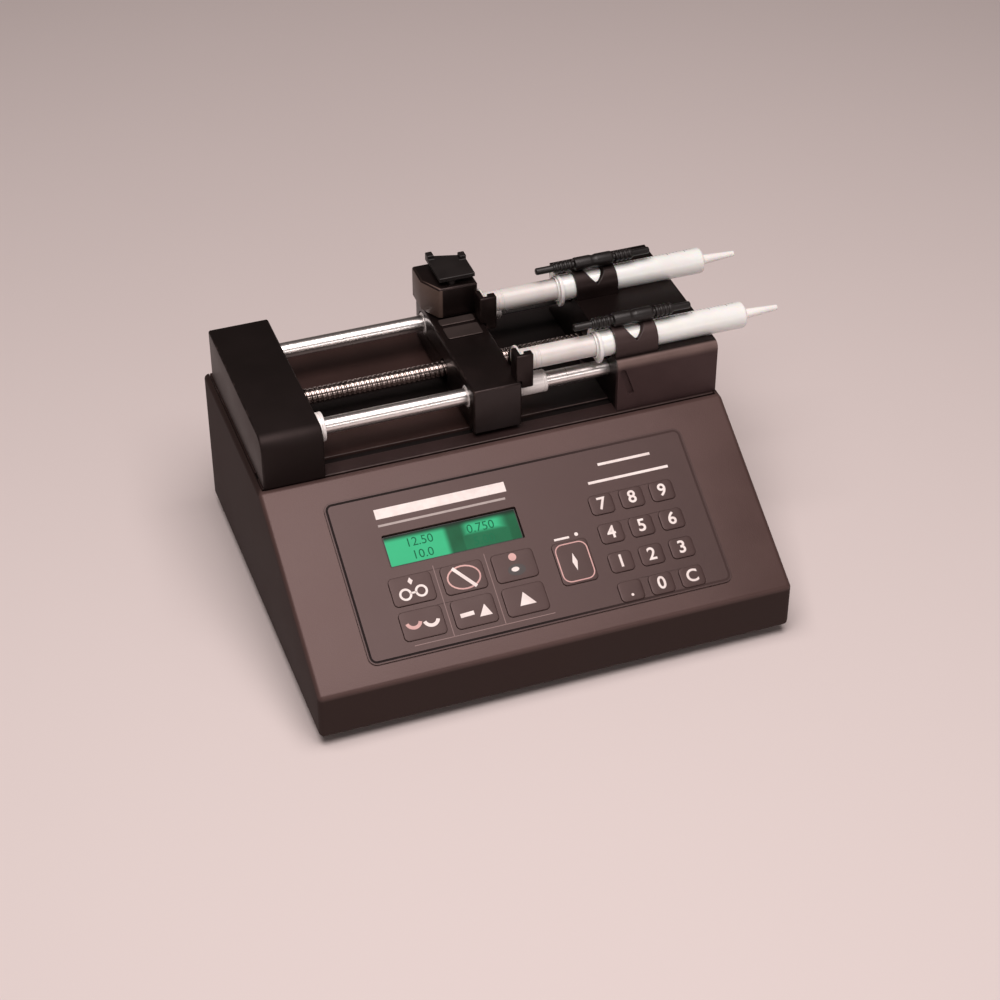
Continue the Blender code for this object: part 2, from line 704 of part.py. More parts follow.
def build_screw_bearing():
    loops = [circle((0.0, 0.0), BEARING_RADIUS), circle((0.0, 0.0), around(SCREW_RADIUS + RUN_GAP))]
    mesh = outline_mesh("screw_bearing", loops, BEARING_LENGTH)
    place("screw_bearing", mesh, (DRIVE_RIGHT - BEARING_LENGTH / 2, SCREW_Y, SCREW_Z), "brass", ALONG_X)


def build_lead_screw():
    left = PULLEY_LEFT - BELT_ROOM - SCREW_SEAT
    right = HOLDER_LEFT + SCREW_SEAT
    mesh = shaft_mesh("lead_screw", SCREW_RADIUS, right - left)
    place("lead_screw", mesh, (span(left, right), SCREW_Y, SCREW_Z), "steel", SHAFT_TURN)


def build_screw_pulley():
    loops = [circle((0.0, 0.0), SCREW_PULLEY_RADIUS), circle((0.0, 0.0), around(SCREW_RADIUS + GAP))]
    mesh = outline_mesh("screw_pulley", loops, PULLEY_WIDTH)
    place("screw_pulley", mesh, (PULLEY_MID, SCREW_Y, SCREW_Z), "grey", ALONG_X)


def belt_loop(extra):
    # Outline around both pulleys, the upper arc and the lower arc joined by the straight runs
    upper = around(SCREW_PULLEY_RADIUS + GAP) + extra
    lower = around(MOTOR_PULLEY_RADIUS + GAP) + extra
    lean = math.degrees(math.asin((upper - lower) / (SCREW_Z - MOTOR_Z)))
    top = arc((SCREW_Y, SCREW_Z), upper, -lean, 180.0 + lean, 16)
    bottom = arc((SCREW_Y, MOTOR_Z), lower, 180.0 + lean, 360.0 - lean, 12)
    return top + bottom


def build_timing_belt():
    mesh = outline_mesh("timing_belt", [belt_loop(BELT_THICK), belt_loop(0.0)], BELT_WIDTH)
    place("timing_belt", mesh, (PULLEY_MID, 0.0, 0.0), "rubber", ALONG_X)


def build_motor():
    left = PULLEY_LEFT + PULLEY_WIDTH + BELT_ROOM
    half = MOTOR_SIZE / 2
    low = half - MOTOR_CHAMFER
    outline = [(half, -low), (half, low), (low, half), (-low, half)]
    outline += [(-half, low), (-half, -low), (-low, -half), (low, -half)]
    mesh = outline_mesh("step_motor", [outline], MOTOR_LENGTH)
    motor = place("step_motor", mesh, (left + MOTOR_LENGTH / 2, SCREW_Y, MOTOR_Z), "grey", ALONG_X)
    bore = around(SHAFT_RADIUS + RUN_GAP, SMALL_SIDES)
    depth = 2 * (SHAFT_SEAT + RUN_GAP)
    cut_round(motor, "motor_bore", bore, depth, (left, SCREW_Y, MOTOR_Z), SHAFT_TURN, SMALL_SIDES)


def build_motor_pulley():
    name = "motor_pulley"
    at = (PULLEY_MID, SCREW_Y, MOTOR_Z)
    pulley = place(name, shaft_mesh(name, MOTOR_PULLEY_RADIUS, PULLEY_WIDTH), at, "grey", SHAFT_TURN)
    right = PULLEY_LEFT + PULLEY_WIDTH + BELT_ROOM + SHAFT_SEAT
    length = right - PULLEY_MID
    join_round(pulley, "motor_shaft", SHAFT_RADIUS, length, (span(PULLEY_MID, right), SCREW_Y, MOTOR_Z),
               SHAFT_TURN, SMALL_SIDES)


# Pusher

def nut_low():
    return SCREW_Z - SCREW_RADIUS - RUN_GAP - NUT_FLOOR


def build_pusher():
    size = (PUSHER_LENGTH, PUSHER_BACK_Y - PUSHER_FRONT_Y, PUSHER_HEIGHT)
    at = (PUSHER_MID, span(PUSHER_FRONT_Y, PUSHER_BACK_Y), span(PUSHER_LOW, PUSHER_TOP))
    block = place("pusher_block", box_mesh("pusher_block", size), at, "block")
    round_edges(block, PUSHER_EDGE)
    for label, rod_y in (("rear", REAR_ROD_Y), ("front", FRONT_ROD_Y)):
        bore = around(BUSH_RADIUS + GAP)
        cut_round(block, label + "_bush_bore", bore, 2 * PUSHER_LENGTH, (PUSHER_MID, rod_y, ROD_Z))
    screw_way = around(SCREW_RADIUS + NUT_ROOM)
    cut_round(block, "screw_way", screw_way, 2 * PUSHER_LENGTH, (PUSHER_MID, SCREW_Y, SCREW_Z))
    way = (2 * PUSHER_LENGTH, 2 * (SCREW_RADIUS + NUT_ROOM), 2 * (SCREW_Z - PUSHER_LOW))
    cut_box(block, "screw_way_below", way, (PUSHER_MID, SCREW_Y, PUSHER_LOW))
    front = SCREW_Y - NUT_HALF_WIDTH - NUT_ROOM
    back = stem_y() + STEM_RADIUS + NUT_ROOM
    high = SCREW_Z + NUT_ROOM
    pocket = (NUT_LENGTH + 2 * NUT_ROOM, back - front, 2 * (high - PUSHER_LOW))
    cut_box(block, "nut_pocket", pocket, (PUSHER_MID, span(front, back), PUSHER_LOW))
    stem_hole(block, "pusher_stem_hole")


def stem_y():
    return TOWER_FRONT_Y + STEM_SET


def stem_hole(piece, label):
    bore = around(STEM_RADIUS + RUN_GAP, SMALL_SIDES)
    low = PUSHER_LOW
    high = TOWER_TOP + GAP
    cut_round(piece, label, bore, 2 * (high - low), (PUSHER_MID, stem_y(), high), FLAT, SMALL_SIDES)


def build_tower():
    left = PUSHER_LEFT - TOWER_OVERHANG
    plan = [(left + TOWER_CUT_WIDTH, TOWER_FRONT_Y), (PUSHER_RIGHT, TOWER_FRONT_Y)]
    plan += [(PUSHER_RIGHT, PUSHER_BACK_Y), (left, PUSHER_BACK_Y), (left, TOWER_FRONT_Y + TOWER_CUT_DEPTH)]
    mesh = outline_mesh("release_housing", [plan], TOWER_HEIGHT)
    tower = place("release_housing", mesh, (0.0, 0.0, span(PUSHER_TOP + GAP, TOWER_TOP)), "block")
    round_edges(tower, PUSHER_EDGE)
    stem_hole(tower, "tower_stem_hole")


def build_bushes():
    length = PUSHER_LENGTH + BUSH_REACH
    for label, rod_y in (("rear", REAR_ROD_Y), ("front", FRONT_ROD_Y)):
        loops = [circle((0.0, 0.0), BUSH_RADIUS), circle((0.0, 0.0), around(ROD_RADIUS + RUN_GAP))]
        mesh = outline_mesh(label + "_bush", loops, length)
        place(label + "_bush", mesh, (PUSHER_LEFT + length / 2, rod_y, ROD_Z), "bush", ALONG_X)


def build_half_nut():
    low = nut_low()
    front = SCREW_Y - NUT_HALF_WIDTH
    back = SCREW_Y + NUT_HALF_WIDTH
    arm_back = stem_y() + STEM_RADIUS
    arm_top = low + NUT_ARM_HEIGHT
    bore = around(SCREW_RADIUS + RUN_GAP, SMALL_SIDES)
    outline = [(front, low), (arm_back, low), (arm_back, arm_top), (back, arm_top), (back, SCREW_Z)]
    outline += arc((SCREW_Y, SCREW_Z), bore, 360.0, 180.0, SMALL_SIDES // 2)
    outline += [(front, SCREW_Z)]
    mesh = outline_mesh("half_nut", [outline], NUT_LENGTH)
    place("half_nut", mesh, (PUSHER_MID, 0.0, 0.0), "brass", ALONG_X)


def build_release_button():
    # A plate whose rear edge runs at a slant, with a small horn on each rear corner
    low = TOWER_TOP + RELEASE_TRAVEL + GAP
    front = stem_y() - STEM_RADIUS
    left = PUSHER_MID + BUTTON_SHIFT - BUTTON_WIDTH / 2
    right = left + BUTTON_WIDTH
    right_back = PUSHER_BACK_Y - BUTTON_SLANT
    plan = [(left, front), (right, front), (right, right_back), (left, PUSHER_BACK_Y)]
    mesh = outline_mesh("release_button", [plan], BUTTON_THICK)
    button = place("release_button", mesh, (0.0, 0.0, low + BUTTON_THICK / 2), "block")
    horn_size = (BUTTON_HORN_WIDTH, BUTTON_HORN_DEPTH, BUTTON_THICK + BUTTON_HORN)
    left_x = left + BUTTON_HORN_WIDTH / 2
    right_x = right - BUTTON_HORN_WIDTH / 2
    for label, horn_x, back in (("left", left_x, PUSHER_BACK_Y), ("right", right_x, right_back)):
        horn_at = (horn_x, back - BUTTON_HORN_DEPTH / 2, low + horn_size[2] / 2)
        join_box(button, label + "_horn", horn_size, horn_at)
    stem_low = nut_low() + NUT_ARM_HEIGHT + GAP
    stem_high = low + BUTTON_THICK / 2
    stem_at = (PUSHER_MID, stem_y(), span(stem_low, stem_high))
    join_round(button, "release_stem", STEM_RADIUS, stem_high - stem_low, stem_at, FLAT, SMALL_SIDES)


# Plungers and their retainers

def build_plunger(label, syringe_y):
    name = label + "_plunger"
    left = PUSHER_RIGHT + GAP
    right = left + PLUNGER_LENGTH
    head = BARREL_RADIUS - BARREL_WALL - RUN_GAP
    stem_left = left + THUMB_THICK / 2
    stem_right = right - PLUNGER_HEAD / 2
    mesh = shaft_mesh(name, head - PLUNGER_ROOM, stem_right - stem_left)
    at = (span(stem_left, stem_right), syringe_y, SYRINGE_Z)
    plunger = place(name, mesh, at, "plastic", SHAFT_TURN)
    thumb_at = (left + THUMB_THICK / 2, syringe_y, SYRINGE_Z)
    join_round(plunger, label + "_thumb", THUMB_RADIUS, THUMB_THICK, thumb_at)
    head_at = (right - PLUNGER_HEAD / 2, syringe_y, SYRINGE_Z)
    join_round(plunger, label + "_head", head, PLUNGER_HEAD, head_at)


def build_retainer(label, syringe_y):
    # A hook round the stem and the thumb pad: a tall arm in front, a low one behind, and a wall behind the
    # pad's front half that stands on the pusher
    name = label + "_plunger_retainer"
    left = PUSHER_RIGHT + GAP
    back = PUSHER_RIGHT - RETAINER_BACK
    right = left + RETAINER_LENGTH
    low = ROD_Z + BUSH_RADIUS + GAP * 2
    high = SYRINGE_Z + RETAINER_RISE
    half = THUMB_RADIUS + RUN_GAP + RETAINER_WALL
    at = (span(back, right), syringe_y, span(low, high))
    bracket = place(name, box_mesh(name, (right - back, 2 * half, high - low)), at, "block")
    round_edges(bracket, RETAINER_EDGE)
    room = 2 * RETAINER_BACK
    cut_box(bracket, label + "_pusher_room", (room, 4 * half, 2 * (PUSHER_TOP + GAP - low)),
            (left - room / 2, syringe_y, low))
    open_y = min(syringe_y - RETAINER_OPEN, TOWER_FRONT_Y - GAP)    # the wall stops short of the tower
    cut_box(bracket, label + "_open_half", (room, 4 * half, 4 * (high - low)),
            (left - room / 2, open_y + 2 * half, low))
    pad_right = left + THUMB_THICK + GAP
    thumb_low = SYRINGE_Z - THUMB_RADIUS - GAP
    cut_box(bracket, label + "_thumb_slot",
            (pad_right - PUSHER_RIGHT, 2 * (THUMB_RADIUS + RUN_GAP), 2 * (high - thumb_low)),
            (span(PUSHER_RIGHT, pad_right), syringe_y, high))
    stem_half = BARREL_RADIUS - BARREL_WALL
    stem_low = SYRINGE_Z - stem_half - GAP
    cut_box(bracket, label + "_stem_slot",
            (2 * RETAINER_LENGTH, 2 * stem_half, 2 * (high - stem_low)), (right, syringe_y, high))
    cut_box(bracket, label + "_rear_arm", (4 * RETAINER_LENGTH, 2 * (half - stem_half), 2 * RETAINER_RISE),
            (left, syringe_y + half, high))


# Syringe barrels and clamps

def build_barrel(label, syringe_y):
    name = label + "_barrel"
    inner = BARREL_RADIUS - BARREL_WALL
    profile = [
        (0.0, NOZZLE_RIGHT), (NOZZLE_TIP, NOZZLE_RIGHT), (NOZZLE_BASE, BARREL_RIGHT),
        (BARREL_RADIUS, BARREL_RIGHT), (BARREL_RADIUS, BARREL_LEFT), (inner, BARREL_LEFT),
        (inner, BARREL_RIGHT - BARREL_END), (0.0, BARREL_RIGHT - BARREL_END),
    ]
    barrel = place(name, turned_mesh(name, profile), (0.0, syringe_y, SYRINGE_Z), "plastic", SHAFT_TURN)
    turn_on(barrel)
    edge = math.degrees(math.asin(FLANGE_FLAT / FLANGE_RADIUS))
    outline = arc((0.0, 0.0), FLANGE_RADIUS, -edge, edge, 8)
    outline += arc((0.0, 0.0), FLANGE_RADIUS, 180.0 - edge, 180.0 + edge, 8)
    hole = circle((0.0, 0.0), BARREL_RADIUS - BARREL_WALL / 2)
    flange = place(label + "_flange", outline_mesh(label + "_flange", [outline, hole], FLANGE_THICK),
                   (BARREL_LEFT + FLANGE_THICK, syringe_y, SYRINGE_Z), None, ALONG_X)
    combine(barrel, flange, "UNION")


def build_strap(label, syringe_y):
    name = label + "_clamp_strap"
    low = END_TOP - STRAP_LEG
    inner = around(STRAP_INNER, SMALL_SIDES * 2)
    outline = [(syringe_y + inner, low), (syringe_y + STRAP_OUTER, low)]
    outline += arc((syringe_y, SYRINGE_Z), STRAP_OUTER, 0.0, 180.0, 16)
    outline += [(syringe_y - STRAP_OUTER, low), (syringe_y - inner, low)]
    outline += arc((syringe_y, SYRINGE_Z), inner, 180.0, 0.0, SMALL_SIDES)
    strap = place(name, outline_mesh(name, [outline], STRAP_LENGTH), (STRAP_MID, 0.0, 0.0), "strap", ALONG_X)
    bottom = SYRINGE_Z + STRAP_NOTCH_LOW
    rise = STRAP_OUTER - STRAP_NOTCH_LOW
    notch = [(0.0, 0.0), (2 * STRAP_NOTCH, 2 * rise), (-2 * STRAP_NOTCH, 2 * rise)]
    cutter = outline_mesh(label + "_strap_notch", [notch], 4 * STRAP_OUTER)
    upright = (math.pi / 2, 0.0, 0.0)
    combine(strap, place(label + "_strap_notch", cutter, (STRAP_MID, syringe_y, bottom), None, upright),
            "DIFFERENCE")


def build_handle(label, syringe_y):
    name = label + "_clamp_handle"
    half = HANDLE_LENGTH / 2
    hub = HANDLE_HUB_LENGTH / 2
    grip_start = HANDLE_GRIP_START
    grip_end = grip_start + HANDLE_GRIP_LENGTH
    right = [
        (0.0, half), (HANDLE_RADIUS, half), (HANDLE_RADIUS, grip_end), (HANDLE_GRIP_RADIUS, grip_end),
        (HANDLE_GRIP_RADIUS, grip_start), (HANDLE_RADIUS, grip_start), (HANDLE_RADIUS, hub),
        (HANDLE_HUB_RADIUS, hub),
    ]
    left = [(radius, -height) for radius, height in reversed(right)]
    lift = STRAP_OUTER + GAP + HANDLE_HUB_RADIUS
    at = (STRAP_MID, syringe_y, SYRINGE_Z + lift)
    handle = place(name, turned_mesh(name, right + left), at, "block", SHAFT_TURN)
    turn_on(handle, SMALL_SIDES)


# Panel

def build_overlay():
    size = (OVERLAY_WIDTH, OVERLAY_HIGH - OVERLAY_LOW, OVERLAY_THICK)
    at = (0.0, span(OVERLAY_LOW, OVERLAY_HIGH), GAP + OVERLAY_THICK / 2)
    mesh = slab_mesh("panel_overlay", size, OVERLAY_RADIUS)
    overlay = place("panel_overlay", mesh, at, "overlay", FLAT, PANEL)
    combine(overlay, PANEL_OPENINGS, "DIFFERENCE")


def build_keys():
    low = -CASE_WALL - KEY_DEPTH
    high = OVERLAY_TOP + KEY_PROUD + KEY_TRAVEL
    for name, across, up, width, height in KEYS:
        mesh = slab_mesh(name, (width, height, high - low), KEY_ROUND)
        place(name, mesh, (across, up, span(low, high)), "key", FLAT, PANEL)


def build_lcd():
    back = -CASE_WALL - GAP
    size = (WINDOW_WIDTH + 2 * LCD_MARGIN, WINDOW_HEIGHT + 2 * LCD_MARGIN, LCD_THICK)
    at = (WINDOW_X, WINDOW_UP, back - LCD_THICK / 2)
    module = place("lcd_module", box_mesh("lcd_module", size), at, "lcd", FLAT, PANEL)
    low = back - LCD_THICK / 2
    glass = (WINDOW_WIDTH - 2 * GAP, WINDOW_HEIGHT - 2 * GAP, -LCD_RECESS - low)
    join_box(module, "lcd_glass", glass, (WINDOW_X, WINDOW_UP, span(low, -LCD_RECESS)), PANEL)


# Rear and inside

def build_inlet():
    name = "mains_inlet"
    flange_back = REAR_Y + GAP + INLET_FLANGE_THICK
    depth = INLET_DEPTH + GAP + INLET_FLANGE_THICK
    size = (INLET_WIDTH, depth, INLET_HEIGHT)
    at = (INLET_X, flange_back - depth / 2, INLET_UP)
    inlet = place(name, box_mesh(name, size), at, "rubber")
    flange = (INLET_WIDTH + 2 * INLET_FLANGE, INLET_FLANGE_THICK, INLET_HEIGHT + INLET_FLANGE)
    join_box(inlet, "inlet_flange", flange, (INLET_X, flange_back - INLET_FLANGE_THICK / 2, INLET_UP))
    hollow = (INLET_WIDTH - 2 * INLET_WALL, 2 * (depth - INLET_WALL), INLET_HEIGHT - 2 * INLET_WALL)
    cut_box(inlet, "inlet_socket", hollow, (INLET_X, flange_back, INLET_UP))


def build_rocker():
    # Drawn tilted to its off position about the hinge line, which lies in the panel
    half = ROCKER_HEIGHT / 2
    waist = ROCKER_RISE / 2
    heel = ROCKER_HEEL / 2
    outline = [(ROCKER_RISE, -half), (waist, 0.0), (ROCKER_RISE, half)]
    outline += [(-ROCKER_DEPTH / 2, heel), (-ROCKER_DEPTH / 2, -heel)]
    mesh = outline_mesh("power_rocker", [outline], ROCKER_WIDTH)
    tilt = Matrix.Rotation(math.radians(-ROCKER_TILT), 4, "Z")
    mesh.transform(tilt)
    place("power_rocker", mesh, (ROCKER_X, REAR_Y - REAR_THICK / 2, INLET_UP), "rubber", ALONG_X)


def build_main_board():
    low = BASE_THICK + GAP
    plate_z = low + STANDOFF_HEIGHT + BOARD_THICK / 2
    size = (BOARD_WIDTH, BOARD_DEPTH, BOARD_THICK)
    board = place("main_board", box_mesh("main_board", size), (BOARD_X, BOARD_Y, plate_z), "board")
    reach_x = BOARD_WIDTH / 2 - STANDOFF_INSET
    reach_y = BOARD_DEPTH / 2 - STANDOFF_INSET
    height = STANDOFF_HEIGHT + BOARD_THICK / 2
    for side_x in (-1, 1):
        for side_y in (-1, 1):
            label = "standoff_" + str(side_x) + "_" + str(side_y)
            leg_at = (BOARD_X + side_x * reach_x, BOARD_Y + side_y * reach_y, low + height / 2)
            join_round(board, label, STANDOFF_RADIUS, height, leg_at, FLAT, LEG_SIDES)
    for index in range(3):
        chip_x = BOARD_X + (index - 1) * CHIP_PITCH
        chip = (CHIP_SIZE, CHIP_SIZE, CHIP_HEIGHT + BOARD_THICK)
        join_box(board, "chip_" + str(index), chip, (chip_x, BOARD_Y, plate_z + CHIP_HEIGHT / 2))


def build_supply():
    low = BASE_THICK + GAP
    at = (SUPPLY_X, SUPPLY_Y, low + SUPPLY_HEIGHT / 2)
    core = box_mesh("power_transformer", (SUPPLY_WIDTH, CORE_DEPTH, SUPPLY_HEIGHT))
    supply = place("power_transformer", core, at, "grey")
    coil = (COIL_WIDTH, SUPPLY_DEPTH, SUPPLY_HEIGHT - 2 * COIL_DROP)
    join_box(supply, "coil", coil, at)


def build_pump():
    build_case_cover()
    build_base_plate()
    build_feet()
    build_rear_panel()
    build_bed_plate()
    build_drive_housing()
    build_syringe_holder()
    build_guide_rods()
    build_rod_collar()
    build_screw_bearing()
    build_lead_screw()
    build_screw_pulley()
    build_timing_belt()
    build_motor()
    build_motor_pulley()
    build_pusher()
    build_tower()
    build_bushes()
    build_half_nut()
    build_release_button()
    for label, syringe_y in (("front", FRONT_SYRINGE_Y), ("rear", REAR_SYRINGE_Y)):
        build_plunger(label, syringe_y)
        build_retainer(label, syringe_y)
        build_barrel(label, syringe_y)
        build_strap(label, syringe_y)
        build_handle(label, syringe_y)
    build_overlay()
    build_keys()
    build_lcd()
    build_inlet()
    build_rocker()
    build_main_board()
    build_supply()


build_pump()
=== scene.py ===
import json
import math

import bmesh
import bpy
import numpy as np
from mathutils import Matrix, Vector


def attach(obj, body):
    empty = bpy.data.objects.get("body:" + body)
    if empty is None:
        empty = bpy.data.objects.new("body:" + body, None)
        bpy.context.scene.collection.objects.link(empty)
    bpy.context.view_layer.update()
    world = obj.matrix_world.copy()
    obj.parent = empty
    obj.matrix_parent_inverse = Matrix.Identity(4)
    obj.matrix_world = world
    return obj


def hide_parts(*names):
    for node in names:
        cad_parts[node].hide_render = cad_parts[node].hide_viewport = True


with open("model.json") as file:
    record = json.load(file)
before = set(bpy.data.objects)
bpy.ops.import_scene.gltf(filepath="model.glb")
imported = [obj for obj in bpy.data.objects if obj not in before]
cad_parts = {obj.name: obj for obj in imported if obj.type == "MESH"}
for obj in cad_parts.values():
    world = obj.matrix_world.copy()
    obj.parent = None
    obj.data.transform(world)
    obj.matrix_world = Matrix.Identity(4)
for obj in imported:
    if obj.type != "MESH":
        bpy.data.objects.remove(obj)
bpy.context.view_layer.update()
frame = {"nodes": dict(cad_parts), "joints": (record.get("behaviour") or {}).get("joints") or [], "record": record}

behaviour = frame["record"]["behaviour"]
bodyOf = {node: body for body, nodes in behaviour["bodies"].items() for node in nodes}
mm = 0.001
touch = 1e-5    # closer than this counts as the same place


# Reading the frame

def nodePoints(node):    # every corner of a CAD node, as rows of x, y, z
    mesh = frame["nodes"][node].data
    flat = np.empty(len(mesh.vertices) * 3)
    mesh.vertices.foreach_get("co", flat)
    return flat.reshape(-1, 3)


def nodeBox(node):
    points = nodePoints(node)
    return points.min(0), points.max(0)


def middle(node):
    low, high = nodeBox(node)
    return (low + high) / 2


# Lines, grids and meshes

def filleted(corners, radius, steps=6, closed=False):
    # each corner of a flat line becomes an arc that leaves and joins its two sides smoothly
    corners = np.asarray(corners, float)
    count = len(corners)
    sizes = np.broadcast_to(radius, count)
    line = []
    for i in range(count):
        here = corners[i]
        if not closed and i in (0, count - 1):
            line.append(here[None])
            continue
        back = corners[i - 1] - here
        ahead = corners[(i + 1) % count] - here
        backLength, aheadLength = np.linalg.norm(back), np.linalg.norm(ahead)
        back, ahead = back / backLength, ahead / aheadLength
        turn = math.pi - math.acos(np.clip(back @ ahead, -1, 1))
        if turn < 1e-4 or sizes[i] <= 0:
            line.append(here[None])
            continue
        reach = min(sizes[i] * math.tan(turn / 2), 0.499 * backLength, 0.499 * aheadLength)
        size = reach / math.tan(turn / 2)
        inward = (back + ahead) / np.linalg.norm(back + ahead)
        centre = here + inward * size / math.cos(turn / 2)
        start = here + back * reach - centre
        side = here + ahead * reach - centre
        t = np.linspace(0, 1, steps + 1)[:, None]
        line.append(centre + (np.sin((1 - t) * turn) * start + np.sin(t * turn) * side) / math.sin(turn))
    return np.concatenate(line)


def roundedRect(width, height, radius, steps=6, centre=(0, 0)):
    a, b = width / 2, height / 2
    corners = [(a, -b), (a, b), (-a, b), (-a, -b)]
    return filleted(corners, radius, steps, closed=True) + np.asarray(centre)


def gridQuads(rows, cols, around):
    # the four corner numbers of every cell; around joins the last column to the first
    r, c = np.meshgrid(np.arange(rows - 1), np.arange(cols if around else cols - 1), indexing="ij")
    a = r * cols + c
    b = r * cols + (c + 1) % cols
    return np.stack([a, b, b + cols, a + cols], -1)


def meshOf(name, grids, sharp=38, outwards=True):
    # welds (points[rows, cols, 3], around, keep) grids into one skin; keep masks out cells that are holes
    points, quads, first = [], [], 0
    for grid, around, keep in grids:
        rows, cols = grid.shape[:2]
        cells = gridQuads(rows, cols, around)
        cells = cells.reshape(-1, 4) if keep is None else cells[keep]
        points.append(grid.reshape(-1, 3))
        quads.append(cells + first)
        first += rows * cols
    mesh = bpy.data.meshes.new(name)
    mesh.from_pydata(np.concatenate(points).tolist(), [], np.concatenate(quads).tolist())
    shape = bmesh.new()
    shape.from_mesh(mesh)
    bmesh.ops.remove_doubles(shape, verts=shape.verts[:], dist=2e-6)
    bmesh.ops.dissolve_degenerate(shape, dist=1e-7, edges=shape.edges[:])
    loose = [corner for corner in shape.verts if not corner.link_faces]
    bmesh.ops.delete(shape, geom=loose, context="VERTS")
    if outwards:
        bmesh.ops.recalc_face_normals(shape, faces=shape.faces[:])
    shape.to_mesh(mesh)
    shape.free()
    mesh.shade_smooth()
    mesh.set_sharp_from_angle(angle=math.radians(sharp))
    return mesh


def turned(line, centre, sides=48):
    # a line of (x, radius) rows carried round the X axis through centre; radius 0 closes an end
    angle = np.linspace(0, 2 * math.pi, sides, endpoint=False)
    x, radius = np.asarray(line, float).T[:, :, None]
    y, z = centre[1] + radius * np.cos(angle), centre[2] + radius * np.sin(angle)
    return np.stack([x + 0 * angle, y, z], -1), True, None


def upright(line, centre, sides=40):    # the same round a vertical axis, from (z, radius) rows
    angle = np.linspace(0, 2 * math.pi, sides, endpoint=False)
    z, radius = np.asarray(line, float).T[:, :, None]
    x, y = centre[0] + radius * np.cos(angle), centre[1] + radius * np.sin(angle)
    return np.stack([x, y, z + 0 * angle], -1), True, None


def ribbonGrid(path, width, thick, place, closed=False):
    # a flat band of rectangular section carried along a flat path; place maps (across, up, lift) to the object
    path = np.asarray(path, float)
    if closed:
        path = np.concatenate([path, path[:1]])
        run = np.roll(path[:-1], -1, 0) - np.roll(path[:-1], 1, 0)
        run = np.concatenate([run, run[:1]])
    else:
        run = np.gradient(path, axis=0)
    run /= np.linalg.norm(run, axis=1, keepdims=True)
    side = np.stack([-run[:, 1], run[:, 0]], -1) * width / 2
    rails = [(path + side, 0), (path + side, thick), (path - side, thick), (path - side, 0)]
    grid = np.stack([place(flat[:, 0], flat[:, 1], np.full(len(flat), lift)) for flat, lift in rails], 1)
    if closed:
        return [(grid, True, None)]
    caps = [(np.stack([end[:2], end[:1:-1]]), False, None) for end in (grid[0], grid[-1])]
    return [(grid, True, None)] + caps


def sheetMesh(name, loops, low, high, place, sharp=38):
    # a flat sheet with holes: loops of (across, up) rows, filled between two lifts and put in place
    curve = bpy.data.curves.new(name, "CURVE")
    curve.dimensions = "2D"
    curve.fill_mode = "BOTH"
    curve.extrude = (high - low) / 2
    for loop in loops:
        spline = curve.splines.new("POLY")
        spline.points.add(len(loop) - 1)
        spline.use_cyclic_u = True
        flat = np.column_stack([loop, np.zeros(len(loop)), np.ones(len(loop))])
        spline.points.foreach_set("co", flat.ravel())
    return filledMesh(name, curve, (low + high) / 2, place, sharp)


def filledMesh(name, curve, lift, place, sharp=38):
    # evaluates a flat curve or text and puts its points in place
    carrier = bpy.data.objects.new(name, curve)
    bpy.context.scene.collection.objects.link(carrier)
    graph = bpy.context.evaluated_depsgraph_get()
    mesh = bpy.data.meshes.new_from_object(carrier.evaluated_get(graph))
    bpy.data.objects.remove(carrier, do_unlink=True)
    flat = np.empty(len(mesh.vertices) * 3)
    mesh.vertices.foreach_get("co", flat)
    flat = flat.reshape(-1, 3)
    mesh.vertices.foreach_set("co", place(flat[:, 0], flat[:, 1], flat[:, 2] + lift).ravel())
    shape = bmesh.new()
    shape.from_mesh(mesh)
    bmesh.ops.remove_doubles(shape, verts=shape.verts[:], dist=1e-6)
    bmesh.ops.recalc_face_normals(shape, faces=shape.faces[:])
    shape.to_mesh(mesh)
    shape.free()
    mesh.shade_smooth()
    mesh.set_sharp_from_angle(angle=math.radians(sharp))
    return mesh


def textMesh(name, text, size, thick, lift, place, steps, bolder=0.0):    # a line of digits as a flat mesh
    curve = bpy.data.curves.new(name, "FONT")
    curve.body = text
    curve.size = size
    curve.align_x = "CENTER"
    curve.align_y = "CENTER"
    curve.extrude = thick
    curve.resolution_u = steps
    curve.offset = bolder
    return filledMesh(name, curve, lift, place)


def putPiece(name, mesh, finish, body, nodes=()):    # one finished piece on its body
    piece = bpy.data.objects.new(name, mesh)
    bpy.context.scene.collection.objects.link(piece)
    mesh.materials.clear()
    mesh.materials.append(finish)
    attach(piece, body)
    if nodes:
        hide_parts(*nodes)
    return piece


def roundEdges(piece, width, steps=3, angle=35, finish=None):
    bevel = piece.modifiers.new("roundedEdges", "BEVEL")
    bevel.width = width
    bevel.segments = steps
    bevel.limit_method = "ANGLE"
    bevel.angle_limit = math.radians(angle)
    bevel.use_clamp_overlap = False
    bevel.harden_normals = True
    if finish:    # worn finish on the rounded edges only
        piece.data.materials.append(finish)
        bevel.material = 1
    return piece


def dressNode(node, name, finish, edge, wornEdge=None, steps=3):
    # a welded copy of a CAD solid with its flat faces joined and its edges rounded
    mesh = bpy.data.meshes.new(name)
    source = frame["nodes"][node].data
    mesh.from_pydata(nodePoints(node).tolist(), [], [list(face.vertices) for face in source.polygons])
    shape = bmesh.new()
    shape.from_mesh(mesh)
    bmesh.ops.remove_doubles(shape, verts=shape.verts[:], dist=2e-6)
    bmesh.ops.join_triangles(shape, faces=shape.faces[:], angle_face_threshold=math.radians(0.5),
                             angle_shape_threshold=math.radians(60))
    shape.to_mesh(mesh)
    shape.free()
    mesh.shade_smooth()
    piece = putPiece(name, mesh, finish, bodyOf[node], [node])
    return roundEdges(piece, edge, steps, 35, wornEdge)


# Shader groups

